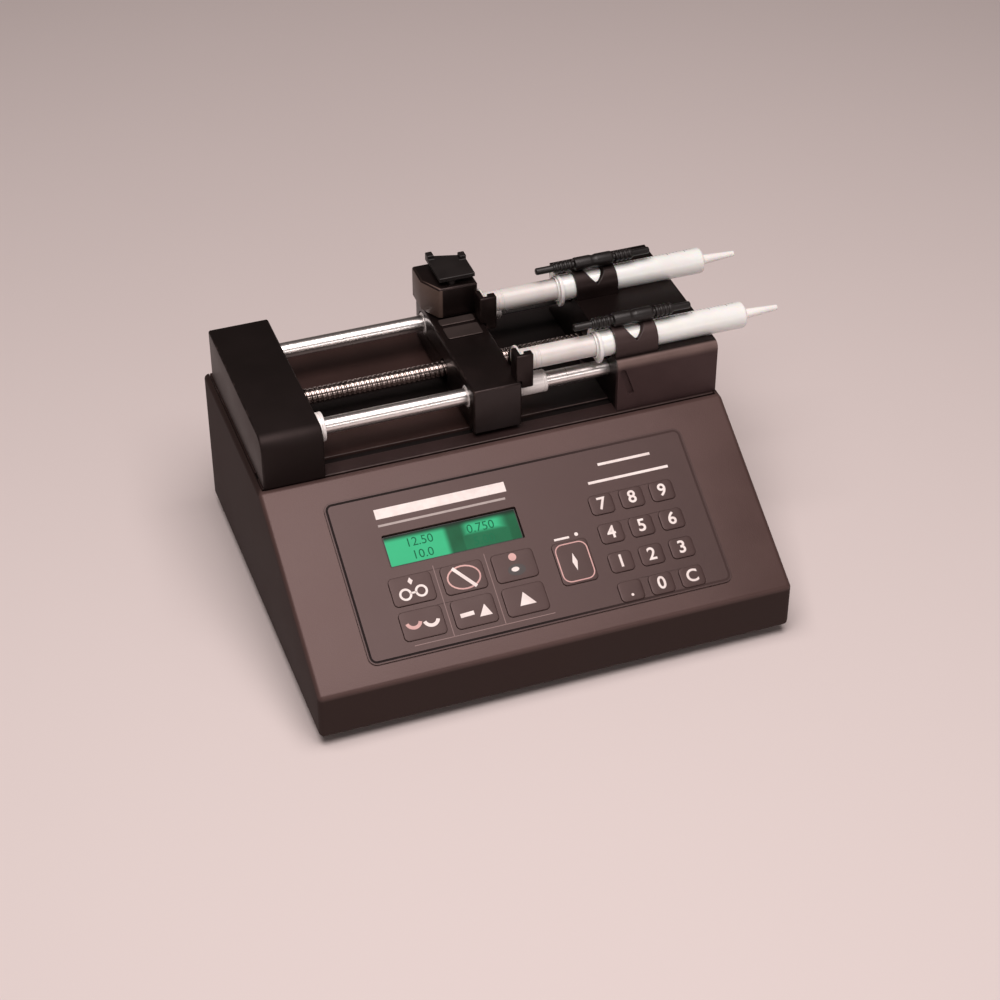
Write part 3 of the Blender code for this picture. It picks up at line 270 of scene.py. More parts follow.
def newGroup(name, inputs, outputs):
    group = bpy.data.node_groups.new(name, "ShaderNodeTree")
    for label, kind, value in inputs:
        socket = group.interface.new_socket(name=label, in_out="INPUT", socket_type="NodeSocket" + kind)
        socket.default_value = value
    for label, kind in outputs:
        group.interface.new_socket(name=label, in_out="OUTPUT", socket_type="NodeSocket" + kind)
    return group, group.nodes.new("NodeGroupInput").outputs, group.nodes.new("NodeGroupOutput").inputs


def addNode(tree, kind, settings=None, **links):
    # a node with its settings, its named inputs linked to sockets or set to values
    node = tree.nodes.new("ShaderNode" + kind)
    for key, value in (settings or {}).items():
        setattr(node, key, value)
    for label, value in links.items():
        label = int(label[2:]) if label.startswith("in") and label[2:].isdigit() else label.replace("_", " ")
        if isinstance(value, bpy.types.NodeSocket):
            tree.links.new(value, node.inputs[label])
        else:
            node.inputs[label].default_value = value
    return node


def ramp(tree, value, start, stop):    # smooth mask, 0 at start and 1 at stop
    step = addNode(tree, "MapRange", {"interpolation_type": "SMOOTHSTEP"}, Value=value,
                   From_Min=float(start), From_Max=float(stop))
    return step.outputs["Result"]


def along(tree, place, axis, start, stop):    # the same mask along one axis
    return ramp(tree, addNode(tree, "SeparateXYZ", Vector=place).outputs[axis], start, stop)


def mixColors(tree, share, first, second):    # first where share is 0, second where it is 1
    return addNode(tree, "Mix", {"data_type": "RGBA"}, in0=share, in6=first, in7=second).outputs[2]


def makeToneGroup():
    # cloudy change of colour and gloss over a surface, with a fine grain for its bump
    group, given, made = newGroup(
        "toneAndGrain",
        [("Color", "Color", (0.5, 0.5, 0.5, 1)), ("Tint", "Color", (0.4, 0.4, 0.4, 1)),
         ("Stretch", "Vector", (1, 1, 1)), ("Cloud Scale", "Float", 30.0), ("Grain Scale", "Float", 900.0),
         ("Low Gloss", "Float", 0.5), ("High Gloss", "Float", 0.4)],
        [("Color", "Color"), ("Roughness", "Float"), ("Height", "Float")])
    place = addNode(group, "TexCoord").outputs["Object"]
    place = addNode(group, "Mapping", Vector=place, Scale=given["Stretch"]).outputs["Vector"]
    cloud = addNode(group, "TexNoise", Vector=place, Scale=given["Cloud Scale"], Detail=5.0, Roughness=0.6)
    share = ramp(group, cloud.outputs["Fac"], 0.35, 0.68)
    mixed = mixColors(group, share, given["Color"], given["Tint"])
    grain = addNode(group, "TexNoise", Vector=place, Scale=given["Grain Scale"], Detail=2.0, Roughness=0.55)
    gloss = addNode(group, "MapRange", Value=cloud.outputs["Fac"], From_Min=0.3, From_Max=0.7,
                    To_Min=given["Low Gloss"], To_Max=given["High Gloss"])
    group.links.new(mixed, made["Color"])
    group.links.new(gloss.outputs["Result"], made["Roughness"])
    group.links.new(grain.outputs["Fac"], made["Height"])
    return group


def makeWearGroup():
    # patches where handling has rubbed a finish down to what lies under it
    group, given, made = newGroup(
        "rubbedEdge",
        [("Color", "Color", (0.1, 0.1, 0.1, 1)), ("Bare", "Color", (0.5, 0.5, 0.5, 1)),
         ("Scale", "Float", 160.0), ("Amount", "Float", 0.5)],
        [("Color", "Color"), ("Mask", "Float")])
    place = addNode(group, "TexCoord").outputs["Object"]
    patch = addNode(group, "TexNoise", Vector=place, Scale=given["Scale"], Detail=6.0, Roughness=0.65)
    floor = addNode(group, "Math", {"operation": "SUBTRACT"}, in0=0.78, in1=given["Amount"])
    mask = addNode(group, "MapRange", {"interpolation_type": "SMOOTHSTEP"}, Value=patch.outputs["Fac"],
                   From_Min=floor.outputs[0], From_Max=0.8)
    mixed = mixColors(group, mask.outputs["Result"], given["Color"], given["Bare"])
    group.links.new(mixed, made["Color"])
    group.links.new(mask.outputs["Result"], made["Mask"])
    return group


toneGroup = makeToneGroup()
wearGroup = makeWearGroup()


def rgb(red, green, blue):    # a screen colour, 0 to 255, as linear light
    part = np.array([red, green, blue]) / 255
    return (*np.where(part <= 0.04045, part / 12.92, ((part + 0.055) / 1.055) ** 2.4).tolist(), 1.0)


def newFinish(name, **sockets):
    finish = bpy.data.materials.new(name)
    finish.use_nodes = True
    tree = finish.node_tree
    shader = tree.nodes["Principled BSDF"]
    for label, value in sockets.items():
        shader.inputs[label.replace("_", " ")].default_value = value
    return finish, tree, shader


def toneFinish(name, look, **sockets):    # the common finish: cloudy colour and gloss, fine grain
    finish, tree, shader = newFinish(name, **sockets)
    tone = tree.nodes.new("ShaderNodeGroup")
    tone.node_tree = toneGroup
    tone.inputs["Color"].default_value = look["color"]
    tone.inputs["Tint"].default_value = look["tint"]
    tone.inputs["Stretch"].default_value = look.get("stretch", (1, 1, 1))
    tone.inputs["Cloud Scale"].default_value = look.get("cloud", 30.0)
    tone.inputs["Grain Scale"].default_value = look.get("grain", 900.0)
    tone.inputs["Low Gloss"].default_value, tone.inputs["High Gloss"].default_value = look["gloss"]
    bump = addNode(tree, "Bump", Height=tone.outputs["Height"], Strength=look.get("bump", 0.1), Distance=0.0004)
    tree.links.new(tone.outputs["Color"], shader.inputs["Base Color"])
    tree.links.new(tone.outputs["Roughness"], shader.inputs["Roughness"])
    tree.links.new(bump.outputs["Normal"], shader.inputs["Normal"])
    return finish


def wornFinish(name, look, **sockets):    # the same paint on an edge, rubbed through in places
    finish, tree, shader = newFinish(name, **sockets)
    wear = tree.nodes.new("ShaderNodeGroup")
    wear.node_tree = wearGroup
    wear.inputs["Color"].default_value = look["color"]
    wear.inputs["Bare"].default_value = look["bare"]
    wear.inputs["Amount"].default_value = look.get("wear", 0.4)
    gloss = addNode(tree, "MapRange", Value=wear.outputs["Mask"],
                    To_Min=look["gloss"][0], To_Max=look["gloss"][1])
    tree.links.new(wear.outputs["Color"], shader.inputs["Base Color"])
    tree.links.new(gloss.outputs["Result"], shader.inputs["Roughness"])
    return finish


def blendedFinish(name, look, other, share, **sockets):
    # two paints on one piece; share puts the mask nodes into the tree and gives the part that the second takes
    finish = toneFinish(name, look, **sockets)
    tree = finish.node_tree
    tone = next(node for node in tree.nodes if node.type == "GROUP")
    mask = share(tree, addNode(tree, "TexCoord").outputs["Object"])
    for label in ("Color", "Tint"):
        mixed = mixColors(tree, mask, look[label.lower()], other[label.lower()])
        tree.links.new(mixed, tone.inputs[label])
    duller = addNode(tree, "MapRange", Value=mask, To_Min=0.0, To_Max=other["gloss"][0] - look["gloss"][0])
    rough = addNode(tree, "Math", {"operation": "ADD"}, in0=tone.outputs["Roughness"],
                    in1=duller.outputs["Result"])
    tree.links.new(rough.outputs[0], tree.nodes["Principled BSDF"].inputs["Roughness"])
    return finish


# Finishes

warmSheen = (1.0, 0.78, 0.76, 1.0)
caseLook = {"color": rgb(80, 62, 59), "tint": rgb(73, 56, 53), "cloud": 14.0, "grain": 1500.0, "bump": 0.16,
            "gloss": (0.44, 0.36)}
caseSideShadeLook = {"color": rgb(41, 29, 26), "tint": rgb(36, 25, 22), "gloss": (0.8, 0.72)}
holderLook = {"color": rgb(66, 51, 51), "tint": rgb(60, 46, 46), "cloud": 30.0, "grain": 1500.0,
              "bump": 0.12, "gloss": (0.44, 0.36)}
holderRimHighlightLook = {"color": rgb(112, 94, 90), "tint": rgb(98, 82, 78), "gloss": (0.4, 0.34)}
blockLook = {"color": rgb(17, 11, 10), "tint": rgb(13, 9, 8), "cloud": 40.0, "grain": 1800.0, "bump": 0.08,
             "gloss": (0.38, 0.3), "bare": rgb(58, 48, 45), "wear": 0.32}
driveLook = {**blockLook, "color": rgb(10, 6, 5), "tint": rgb(8, 5, 4), "gloss": (0.62, 0.54)}
driveSideLitLook = {"color": rgb(40, 30, 27), "tint": rgb(35, 26, 23), "gloss": (0.5, 0.42)}
pusherFrontLook = {"color": rgb(41, 37, 37), "tint": rgb(35, 31, 31), "gloss": (0.44, 0.36)}
padLitLook = {**blockLook, "color": rgb(54, 47, 45), "tint": rgb(46, 40, 38)}
cheekPaintAndLightLook = {"color": rgb(98, 82, 74), "tint": rgb(88, 73, 66), "gloss": (0.44, 0.36)}
bedLook = {"color": rgb(54, 37, 34), "tint": rgb(48, 33, 30), "cloud": 22.0, "grain": 1400.0, "bump": 0.12,
           "gloss": (0.5, 0.4), "bare": rgb(84, 69, 66), "wear": 0.3}
bedFrontShadeLook = {**bedLook, "color": rgb(43, 29, 28), "tint": rgb(38, 26, 25)}
bedRightShadeLook = {"color": rgb(17, 10, 9), "tint": rgb(14, 9, 8), "gloss": (0.6, 0.5)}
grooveShadeLook = {**bedLook, "color": rgb(17, 10, 9), "tint": rgb(13, 8, 7), "gloss": (0.7, 0.6)}
plasticLook = {"color": rgb(24, 19, 18), "tint": rgb(19, 15, 14), "cloud": 60.0, "grain": 1600.0,
               "bump": 0.14, "gloss": (0.5, 0.4), "bare": rgb(56, 50, 48), "wear": 0.25}
strapLook = {"color": rgb(59, 48, 47), "tint": rgb(53, 42, 41), "cloud": 60.0, "grain": 1500.0, "bump": 0.1,
             "gloss": (0.5, 0.38), "bare": rgb(140, 126, 124), "wear": 0.25}
# the rear strap is a darker copy of the strap plastic: painted shade
rearStrapShadeLook = {**strapLook, "color": rgb(27, 20, 19), "tint": rgb(22, 16, 15), "bare": rgb(70, 60, 58)}
steelLook = {"color": rgb(248, 245, 243), "tint": rgb(243, 240, 237), "cloud": 40.0, "grain": 700.0,
             "bump": 0.02, "stretch": (30, 1, 1), "gloss": (0.31, 0.27)}
turnedLook = {"color": rgb(253, 250, 248), "tint": rgb(246, 243, 240), "cloud": 60.0, "grain": 500.0,
              "bump": 0.05, "stretch": (60, 1, 1), "gloss": (0.38, 0.28)}
screwLook = {"color": rgb(182, 170, 165), "tint": rgb(140, 129, 124), "cloud": 90.0, "grain": 600.0,
             "bump": 0.03, "gloss": (0.26, 0.17)}
brassLook = {"color": rgb(206, 172, 96), "tint": rgb(176, 140, 72), "cloud": 50.0, "grain": 700.0,
             "bump": 0.05, "stretch": (40, 1, 1), "gloss": (0.34, 0.22)}
rubberLook = {"color": rgb(34, 32, 32), "tint": rgb(26, 25, 25), "cloud": 80.0, "grain": 1200.0,
              "bump": 0.25, "gloss": (0.85, 0.7)}
whiteLook = {"color": rgb(222, 219, 216), "tint": rgb(213, 209, 205), "cloud": 50.0, "grain": 700.0,
             "bump": 0.03, "gloss": (0.36, 0.26)}
barrelLook = {"color": rgb(254, 251, 248), "tint": rgb(249, 245, 241), "cloud": 36.0, "grain": 500.0,
              "bump": 0.02, "gloss": (0.22, 0.14)}
overlayLook = {"color": rgb(66, 51, 49), "tint": rgb(60, 46, 44), "cloud": 12.0, "grain": 2400.0,
               "bump": 0.1, "gloss": (0.44, 0.36)}
keyLook = {"color": rgb(62, 47, 45), "tint": rgb(57, 43, 41), "cloud": 40.0, "grain": 2200.0, "bump": 0.08,
           "gloss": (0.44, 0.36)}
inkLook = {"color": rgb(240, 232, 228), "tint": rgb(226, 214, 210), "cloud": 120.0, "grain": 2000.0,
           "bump": 0.05, "gloss": (0.5, 0.4)}
roseLook = {**inkLook, "color": rgb(214, 170, 164), "tint": rgb(196, 150, 146)}
faintLook = {**inkLook, "color": rgb(132, 106, 102), "tint": rgb(120, 95, 92)}
greyLook = {**inkLook, "color": rgb(172, 160, 156), "tint": rgb(158, 146, 142)}
darkInkLook = {**inkLook, "color": rgb(46, 36, 35), "tint": rgb(38, 29, 28), "gloss": (0.5, 0.42)}
boardLook = {"color": rgb(30, 96, 56), "tint": rgb(22, 78, 44), "cloud": 90.0, "grain": 900.0, "bump": 0.2,
             "gloss": (0.4, 0.3)}
motorLook = {"color": rgb(120, 120, 122), "tint": rgb(96, 96, 98), "cloud": 60.0, "grain": 500.0,
             "bump": 0.15, "stretch": (1, 1, 18), "gloss": (0.5, 0.36)}

blockPaint = toneFinish("blockPaint", blockLook, Specular_IOR_Level=0.4, Specular_Tint=warmSheen)
driveEdge = wornFinish("driveEdge", driveLook, Specular_IOR_Level=0.36, Specular_Tint=warmSheen)
blockEdge = wornFinish("blockEdge", blockLook, Specular_IOR_Level=0.4, Specular_Tint=warmSheen)
padLitPaint = toneFinish("padLitPaint", padLitLook, Specular_IOR_Level=0.4, Specular_Tint=warmSheen)
bedPaint = toneFinish("bedPaint", bedLook, Specular_IOR_Level=0.38)
bedFrontShadePaint = toneFinish("bedFrontShadePaint", bedFrontShadeLook, Specular_IOR_Level=0.38)
grooveShadePaint = toneFinish("grooveShadePaint", grooveShadeLook, Specular_IOR_Level=0.2)
bedEdge = wornFinish("bedEdge", bedLook)
blackPlastic = toneFinish("blackPlastic", plasticLook)
blackEdge = wornFinish("blackEdge", plasticLook)
strapPlastic = toneFinish("strapPlastic", strapLook, Specular_IOR_Level=0.32, Specular_Tint=warmSheen)
strapEdge = wornFinish("strapEdge", strapLook, Specular_IOR_Level=0.32)
rearStrapShadePlastic = toneFinish("rearStrapShadePlastic", rearStrapShadeLook, Specular_IOR_Level=0.3,
                              Specular_Tint=warmSheen)
rearStrapShadeEdge = wornFinish("rearStrapShadeEdge", rearStrapShadeLook, Specular_IOR_Level=0.3)
groundSteel = toneFinish("groundSteel", steelLook, Metallic=1.0)
turnedMetal = toneFinish("turnedMetal", turnedLook, Metallic=0.15)
screwSteel = toneFinish("screwSteel", screwLook, Metallic=1.0)
brassFinish = toneFinish("brassFinish", brassLook, Metallic=1.0)
rubberFinish = toneFinish("rubberFinish", rubberLook)
plungerPlastic = toneFinish("plungerPlastic", whiteLook, Subsurface_Weight=0.25, Subsurface_Scale=0.004)
barrelPlastic = toneFinish("barrelPlastic", barrelLook, Transmission_Weight=0.03, IOR=1.49,
                           Subsurface_Weight=0.2, Subsurface_Scale=0.004)
overlaySheet = toneFinish("overlaySheet", overlayLook, Specular_IOR_Level=0.42, Specular_Tint=warmSheen)
keySheet = toneFinish("keySheet", keyLook, Specular_IOR_Level=0.4, Specular_Tint=warmSheen)
paleInk = toneFinish("paleInk", inkLook)
roseInk = toneFinish("roseInk", roseLook)
faintInk = toneFinish("faintInk", faintLook)
greyInk = toneFinish("greyInk", greyLook)
darkInk = toneFinish("darkInk", darkInkLook)
boardFinish = toneFinish("boardFinish", boardLook)
motorFinish = toneFinish("motorFinish", motorLook, Metallic=0.6)
print("finishes made")


# Case

caseSet = {"edge": 3 * mm, "steps": 6, "wall": 2.2 * mm, "rim": 0.5 * mm, "topFlat": 1.5 * mm, "gap": 0.3 * mm,
           "keyGap": 0.4 * mm, "skin": 0.3 * mm, "slopeTurn": 31}
caseLow, caseHigh = nodeBox("case_cover")
caseMid = (caseLow[0] + caseHigh[0]) / 2
panelNormal = -np.array(next(joint["axis"] for joint in frame["joints"] if joint["name"] == "key_run_press"))
panelRise = np.array([0, panelNormal[2], -panelNormal[1]])    # up the slope
panelReach = (nodePoints("case_cover") @ panelNormal).max()
lipTop = (panelReach - panelNormal[1] * caseLow[1]) / panelNormal[2]
panelTop = (panelReach - panelNormal[2] * caseHigh[2]) / panelNormal[1]
panelLength = math.hypot(panelTop - caseLow[1], caseHigh[2] - lipTop)


def onPanel(across, up, lift):    # across from the middle, up the slope from the lip, lift off the case face
    across, up, lift = np.broadcast_arrays(across, up, lift)
    origin = np.array([caseMid, caseLow[1], lipTop])
    return origin + across[..., None] * (1, 0, 0) + up[..., None] * panelRise + lift[..., None] * panelNormal


def panelBox(node):    # a node's reach across, up the slope and off the face, lowest and highest
    points = nodePoints(node) - (caseMid, caseLow[1], lipTop)
    flat = np.column_stack([points[:, 0], points @ panelRise, points @ panelNormal])
    return flat.min(0), flat.max(0)


keyNames = [node for node in frame["nodes"] if node.startswith("key_")]
keyBoxes = {node: panelBox(node) for node in keyNames}
windowLow, windowHigh = panelBox("lcd_module")
windowMid = (windowLow + windowHigh)[:2] / 2
glassPoints = nodePoints("lcd_module") - (caseMid, caseLow[1], lipTop)
glassFace = (glassPoints @ panelNormal).max()
onGlass = np.abs(glassPoints @ panelNormal - glassFace) < touch
glassSize = np.array([np.ptp(glassPoints[onGlass, 0]), np.ptp(glassPoints[onGlass] @ panelRise)])
windowSize = glassSize + 2 * caseSet["gap"]


def panelHoles():    # every opening in the sloped panel, as lowest and highest (across, up)
    holes = [(low[:2] - caseSet["keyGap"], high[:2] + caseSet["keyGap"]) for low, high in keyBoxes.values()]
    return holes + [(windowMid - windowSize / 2, windowMid + windowSize / 2)]


def caseLine(ups):
    # outline of the case in Y and Z, from under the lip, up the lip and the slope, and back along the top edge
    r, steps = caseSet["edge"], caseSet["steps"]
    corners = [(caseLow[1] + 3 * r, caseLow[2]), (caseLow[1], caseLow[2]), (caseLow[1], lipTop),
               (panelTop, caseHigh[2]), (caseHigh[1], caseHigh[2])]
    line = filleted(corners, r, steps)[1:-1]
    bottom, lip, top = line[:steps + 1], line[steps + 1:2 * steps + 2], line[2 * steps + 2:]
    slope = np.column_stack([caseLow[1] + ups * panelRise[1], lipTop + ups * panelRise[2]])
    flat = np.array([(panelTop + r, caseHigh[2]), (caseHigh[1], caseHigh[2])])
    line = np.concatenate([bottom, lip, slope, top, flat])
    turn = np.linspace(0, 1, steps + 1)
    front = math.atan2(panelNormal[2], -panelNormal[1])    # from facing front to facing off the slope
    angles = np.concatenate([(turn - 1) * math.pi / 2, turn * front, np.full(len(slope), front),
                             front + turn * (math.pi / 2 - front), np.full(2, math.pi / 2)])
    facing = np.column_stack([-np.cos(angles), np.sin(angles)])
    return line, facing, len(bottom), len(line) - 1


def shadeBelowPanel(tree, place):    # painted shade: 0 on the sloped face, 1 on the lip and the sides, which take a darker copy of the paint
    depth = addNode(tree, "VectorMath", {"operation": "DOT_PRODUCT"}, in0=place, in1=tuple(panelNormal))
    return ramp(tree, depth.outputs["Value"], panelReach - caseSet["skin"], panelReach - caseSet["edge"])


# the lip and sides get a darker, duller copy of the case paint as painted shade
casePaint = blendedFinish("casePaint", caseLook, caseSideShadeLook, shadeBelowPanel, Specular_IOR_Level=0.42,
                          Specular_Tint=warmSheen)


def makeCase():
    r, steps = caseSet["edge"], caseSet["steps"]
    holes = panelHoles()
    margin = r * math.tan(math.radians(caseSet["slopeTurn"]))
    ups = np.unique(np.round([edge[1] for hole in holes for edge in hole], 6))
    ups = ups[(ups > margin) & (ups < panelLength - margin)]
    line, facing, firstWall, lastStrip = caseLine(ups)
    angle = np.linspace(0, math.pi / 2, steps + 1)
    inset = line - facing * r
    sides = []
    for face, sign in ((caseLow[0], 1), (caseHigh[0], -1)):
        x = np.broadcast_to(face + sign * r * (1 - np.cos(angle)), (len(line), steps + 1))
        yz = inset[:, None] + facing[:, None] * (r * np.sin(angle))[:, None]
        sides.append((np.concatenate([x[..., None], yz], -1), False, None))
        top = inset[firstWall:]    # wall columns hang from the rounded edge to the lower rim
        drop = np.concatenate([[0.0], r * np.sin(angle)])
        depth = np.concatenate([[face], face + sign * r * (1 - np.cos(angle))])
        wall = np.empty((len(top), len(depth), 3))
        wall[..., 0] = depth
        wall[..., 1] = top[:, :1]
        wall[..., 2] = caseLow[2] + r - drop
        wall[:, 0, 2] = top[:, 1]
        sides.append((wall, False, None))
    across = np.unique(np.round([edge[0] for hole in holes for edge in hole], 6))
    across = np.concatenate([[caseLow[0] + r], across + caseMid, [caseHigh[0] - r]])
    strip = np.empty((lastStrip, len(across), 3))
    strip[..., 0] = across
    strip[..., 1:] = line[:lastStrip, None]
    centre = (strip[1:, 1:] + strip[:-1, :-1]) / 2 - (caseMid, caseLow[1], lipTop)
    flatAcross, flatUp = centre[..., 0], centre @ panelRise
    onSlope = np.abs(centre @ panelNormal) < touch
    keep = np.ones(flatUp.shape, bool)
    for low, high in holes:
        inside = (flatAcross > low[0]) & (flatAcross < high[0]) & (flatUp > low[1]) & (flatUp < high[1])
        keep &= ~(inside & onSlope)
    mesh = meshOf("caseShell", sides + [(strip, False, keep)], sharp=30)
    lip = [face for face in mesh.polygons
           if abs(face.center.y - caseLow[1]) < touch and abs(face.normal.y) > 0.9]
    if lip[0].normal.y > 0:
        mesh.flip_normals()
    shell = putPiece("caseShell", mesh, casePaint, "base", ["case_cover"])
    wall = shell.modifiers.new("wallThickness", "SOLIDIFY")
    wall.thickness = caseSet["wall"]
    wall.offset = -1
    wall.use_even_offset = True
    return roundEdges(shell, caseSet["rim"], 2, 60)


makeCase()


bedSet = {"corner": 1 * mm, "edge": 0.5 * mm, "slotRoom": 1.5 * mm, "sunk": 1.5 * mm, "fit": 0.05 * mm,
          "strip": 10.5 * mm, "groove": 5.5 * mm, "channelBack": 12 * mm, "channelFront": 7 * mm,
          "channelEnd": 1.5 * mm, "darkFrom": -10 * mm, "darkTo": 30 * mm}


def level(across, up, lift):    # lays a flat sheet level
    return np.stack([across, up, lift], -1)


def makeBed():
    # plate between the end blocks, with the belt's slot and a sunk channel under the screw
    # a sunk groove parts it from the strip behind the panel's top edge; the channel and groove are painted near
    # black and the strip darker than the plate, as painted shade
    low, high = nodeBox("bed_plate")
    slotLow, slotHigh = nodeBox("timing_belt")
    front = panelTop + caseSet["topFlat"] + caseSet["edge"]
    screwY = middle("lead_screw")[1]
    stripEnd = front + bedSet["strip"]
    plateStart = stripEnd + bedSet["groove"]
    area = lambda left, right, near, far: roundedRect(right - left, far - near, bedSet["corner"], 3,
                                                      ((left + right) / 2, (near + far) / 2))
    room, fit, floor = bedSet["slotRoom"], bedSet["fit"], high[2] - bedSet["sunk"]
    slot = area(slotLow[0] - room, slotHigh[0] + room, slotLow[1] - room, slotHigh[1] + room)
    left = nodeBox("drive_housing")[1][0] + bedSet["channelEnd"]
    right = nodeBox("syringe_holder")[0][0] - bedSet["channelEnd"]
    near, far = screwY - bedSet["channelFront"], screwY + bedSet["channelBack"]

    def shadeTowardsHolder(tree, place):    # painted shade: the plate is darker on the syringes' side of the pusher
        start = nodeBox("pusher_block")[1][0]
        return along(tree, place, "X", start + bedSet["darkFrom"], start + bedSet["darkTo"])

    topPaint = blendedFinish("bedTopPaint", bedLook, bedRightShadeLook, shadeTowardsHolder, Specular_IOR_Level=0.34)
    plate = [area(low[0], high[0], plateStart, high[1]), slot, area(left, right, near, far)]
    sheets = (("bedPlate", plate, high[2], topPaint),
              ("bedChannel", [area(left + fit, right - fit, near + fit, far - fit)], floor, grooveShadePaint),
              ("bedGroove", [area(low[0], high[0], stripEnd + fit, plateStart - fit)], floor, grooveShadePaint),
              ("bedStrip", [area(low[0], high[0], front, stripEnd)], high[2], bedFrontShadePaint))
    for name, loops, top, paint in sheets:
        mesh = sheetMesh(name, loops, low[2], top, level)
        sheet = putPiece(name, mesh, paint, "base", ["bed_plate"] if name == "bedPlate" else ())
        roundEdges(sheet, bedSet["edge"], 2, 60, bedEdge if top == high[2] else None)


makeBed()
for node, name in (("base_plate", "basePlate"), ("rear_panel", "rearPanel")):
    dressNode(node, name, bedPaint, bedSet["edge"], bedEdge, 2)

footSet = {"taper": 1.4 * mm, "dish": 0.6 * mm, "dishRadius": 4.5 * mm, "dishSlope": 1 * mm,
           "fillet": (0, 0.5 * mm, 1.2 * mm, 0.4 * mm, 0.4 * mm, 0)}


def makeFeet():    # tapered rubber feet with a rounded rim and a shallow dish underneath
    for node in ("foot_front_left", "foot_front_right", "foot_rear_left", "foot_rear_right"):
        low, high = nodeBox(node)
        centre = (low + high) / 2
        wide = (high[0] - low[0]) / 2
        narrow = wide - footSet["taper"]
        dish, floor = footSet["dishRadius"], low[2] + footSet["dish"]
        corners = [(high[2], 0), (high[2], wide), (low[2], narrow), (low[2], dish + footSet["dishSlope"]),
                   (floor, dish), (floor, 0)]
        line = filleted(corners, footSet["fillet"], 4)
        mesh = meshOf(node.replace("_", "") + "Rubber", [upright(line, centre)])
        putPiece("rubber_" + node, mesh, rubberFinish, "base", [node])


makeFeet()
print("case made")


# End blocks, pusher and tower keep their CAD shapes, with rounded and worn edges

# a skin gives the depth where its paint starts and the depth where it is full
blockSet = {"edge": 0.6 * mm, "hookEdge": 0.4 * mm, "buttonEdge": 0.5 * mm, "sideSkin": (0.7 * mm, 0.2 * mm),
            "frontSkin": (1.6 * mm, 0.8 * mm), "cheekSkin": (1.2 * mm, 0.6 * mm), "cornerReach": 0.1 * mm}


def makeDrive():    # black block whose left side is painted lighter brown: painted light falling on that side
    left = nodeBox("drive_housing")[0][0]
    none, full = blockSet["sideSkin"]
    paint = blendedFinish("drivePaint", driveLook, driveSideLitLook,
                          lambda tree, place: along(tree, place, "X", left + none, left + full),
                          Specular_IOR_Level=0.36, Specular_Tint=warmSheen)
    dressNode("drive_housing", "painted_drive_housing", paint, blockSet["edge"], driveEdge)


makeDrive()
for node in ("front_plunger_retainer", "rear_plunger_retainer"):
    dressNode(node, "painted_" + node, blockPaint, blockSet["hookEdge"], blockEdge)


def makePusher():    # black block with a greyer front face
    front = nodeBox("pusher_block")[0][1]
    none, full = blockSet["frontSkin"]
    paint = blendedFinish("pusherPaint", blockLook, pusherFrontLook,
                          lambda tree, place: along(tree, place, "Y", front + none, front + full),
                          Specular_IOR_Level=0.4, Specular_Tint=warmSheen)
    dressNode("pusher_block", "painted_pusher_block", paint, blockSet["edge"], blockEdge)


def makeTower():
    # black, with a grey-brown cheek on its left side and on the slanted corner before it, partly the cheek's own
    # paint and partly painted light from the left
    low = nodeBox("release_housing")[0]
    points = nodePoints("release_housing")
    cutX = points[points[:, 1] < low[1] + blockSet["cornerReach"]][:, 0].min()
    cutY = points[points[:, 0] < low[0] + blockSet["cornerReach"]][:, 1].min()
    slant = np.array([low[1] - cutY, low[0] - cutX, 0])
    slant /= np.linalg.norm(slant)
    reach = slant[:2] @ (cutX, low[1])

    def onCheek(tree, place):
        none, full = blockSet["cheekSkin"]
        side = along(tree, place, "X", low[0] + none, low[0] + full)
        depth = addNode(tree, "VectorMath", {"operation": "DOT_PRODUCT"}, in0=place, in1=tuple(slant))
        corner = ramp(tree, depth.outputs["Value"], reach - none, reach - full)
        return addNode(tree, "Math", {"operation": "MAXIMUM"}, in0=side, in1=corner).outputs[0]

    paint = blendedFinish("towerPaint", blockLook, cheekPaintAndLightLook, onCheek, Specular_IOR_Level=0.4,
                          Specular_Tint=warmSheen)
    dressNode("release_housing", "painted_release_housing", paint, blockSet["edge"], blockEdge)


padSet = {"rise": 0.9 * mm, "sunk": 0.1 * mm, "edge": 0.5 * mm, "corner": 1.2 * mm, "inset": (3.5 * mm, 4 * mm),
          "rows": ((0.8 * mm, 6.5 * mm), (10 * mm, 11.5 * mm))}    # gap before the tower and depth of each pad


def makePads():
    # two shallow pads across the top of the pusher, in front of the tower, painted lighter than the block as
    # painted light
    low, high = nodeBox("pusher_block")
    left, right = low[0] + padSet["inset"][0], high[0] - padSet["inset"][1]
    front = nodeBox("release_housing")[0][1]
    for index, (gap, deep) in enumerate(padSet["rows"]):
        outline = roundedRect(right - left, deep, padSet["corner"], 4,
                              ((left + right) / 2, front - gap - deep / 2))
        mesh = sheetMesh(f"pusherPad{index}", [outline], high[2] - padSet["sunk"], high[2] + padSet["rise"],
                         level)
        pad = putPiece(f"pusherPad{index}", mesh, padLitPaint, "pusher")
        roundEdges(pad, padSet["edge"], 3, 60)


makePusher()
makeTower()
makePads()


holderSet = {"rim": 4 * mm, "sharp": 40}


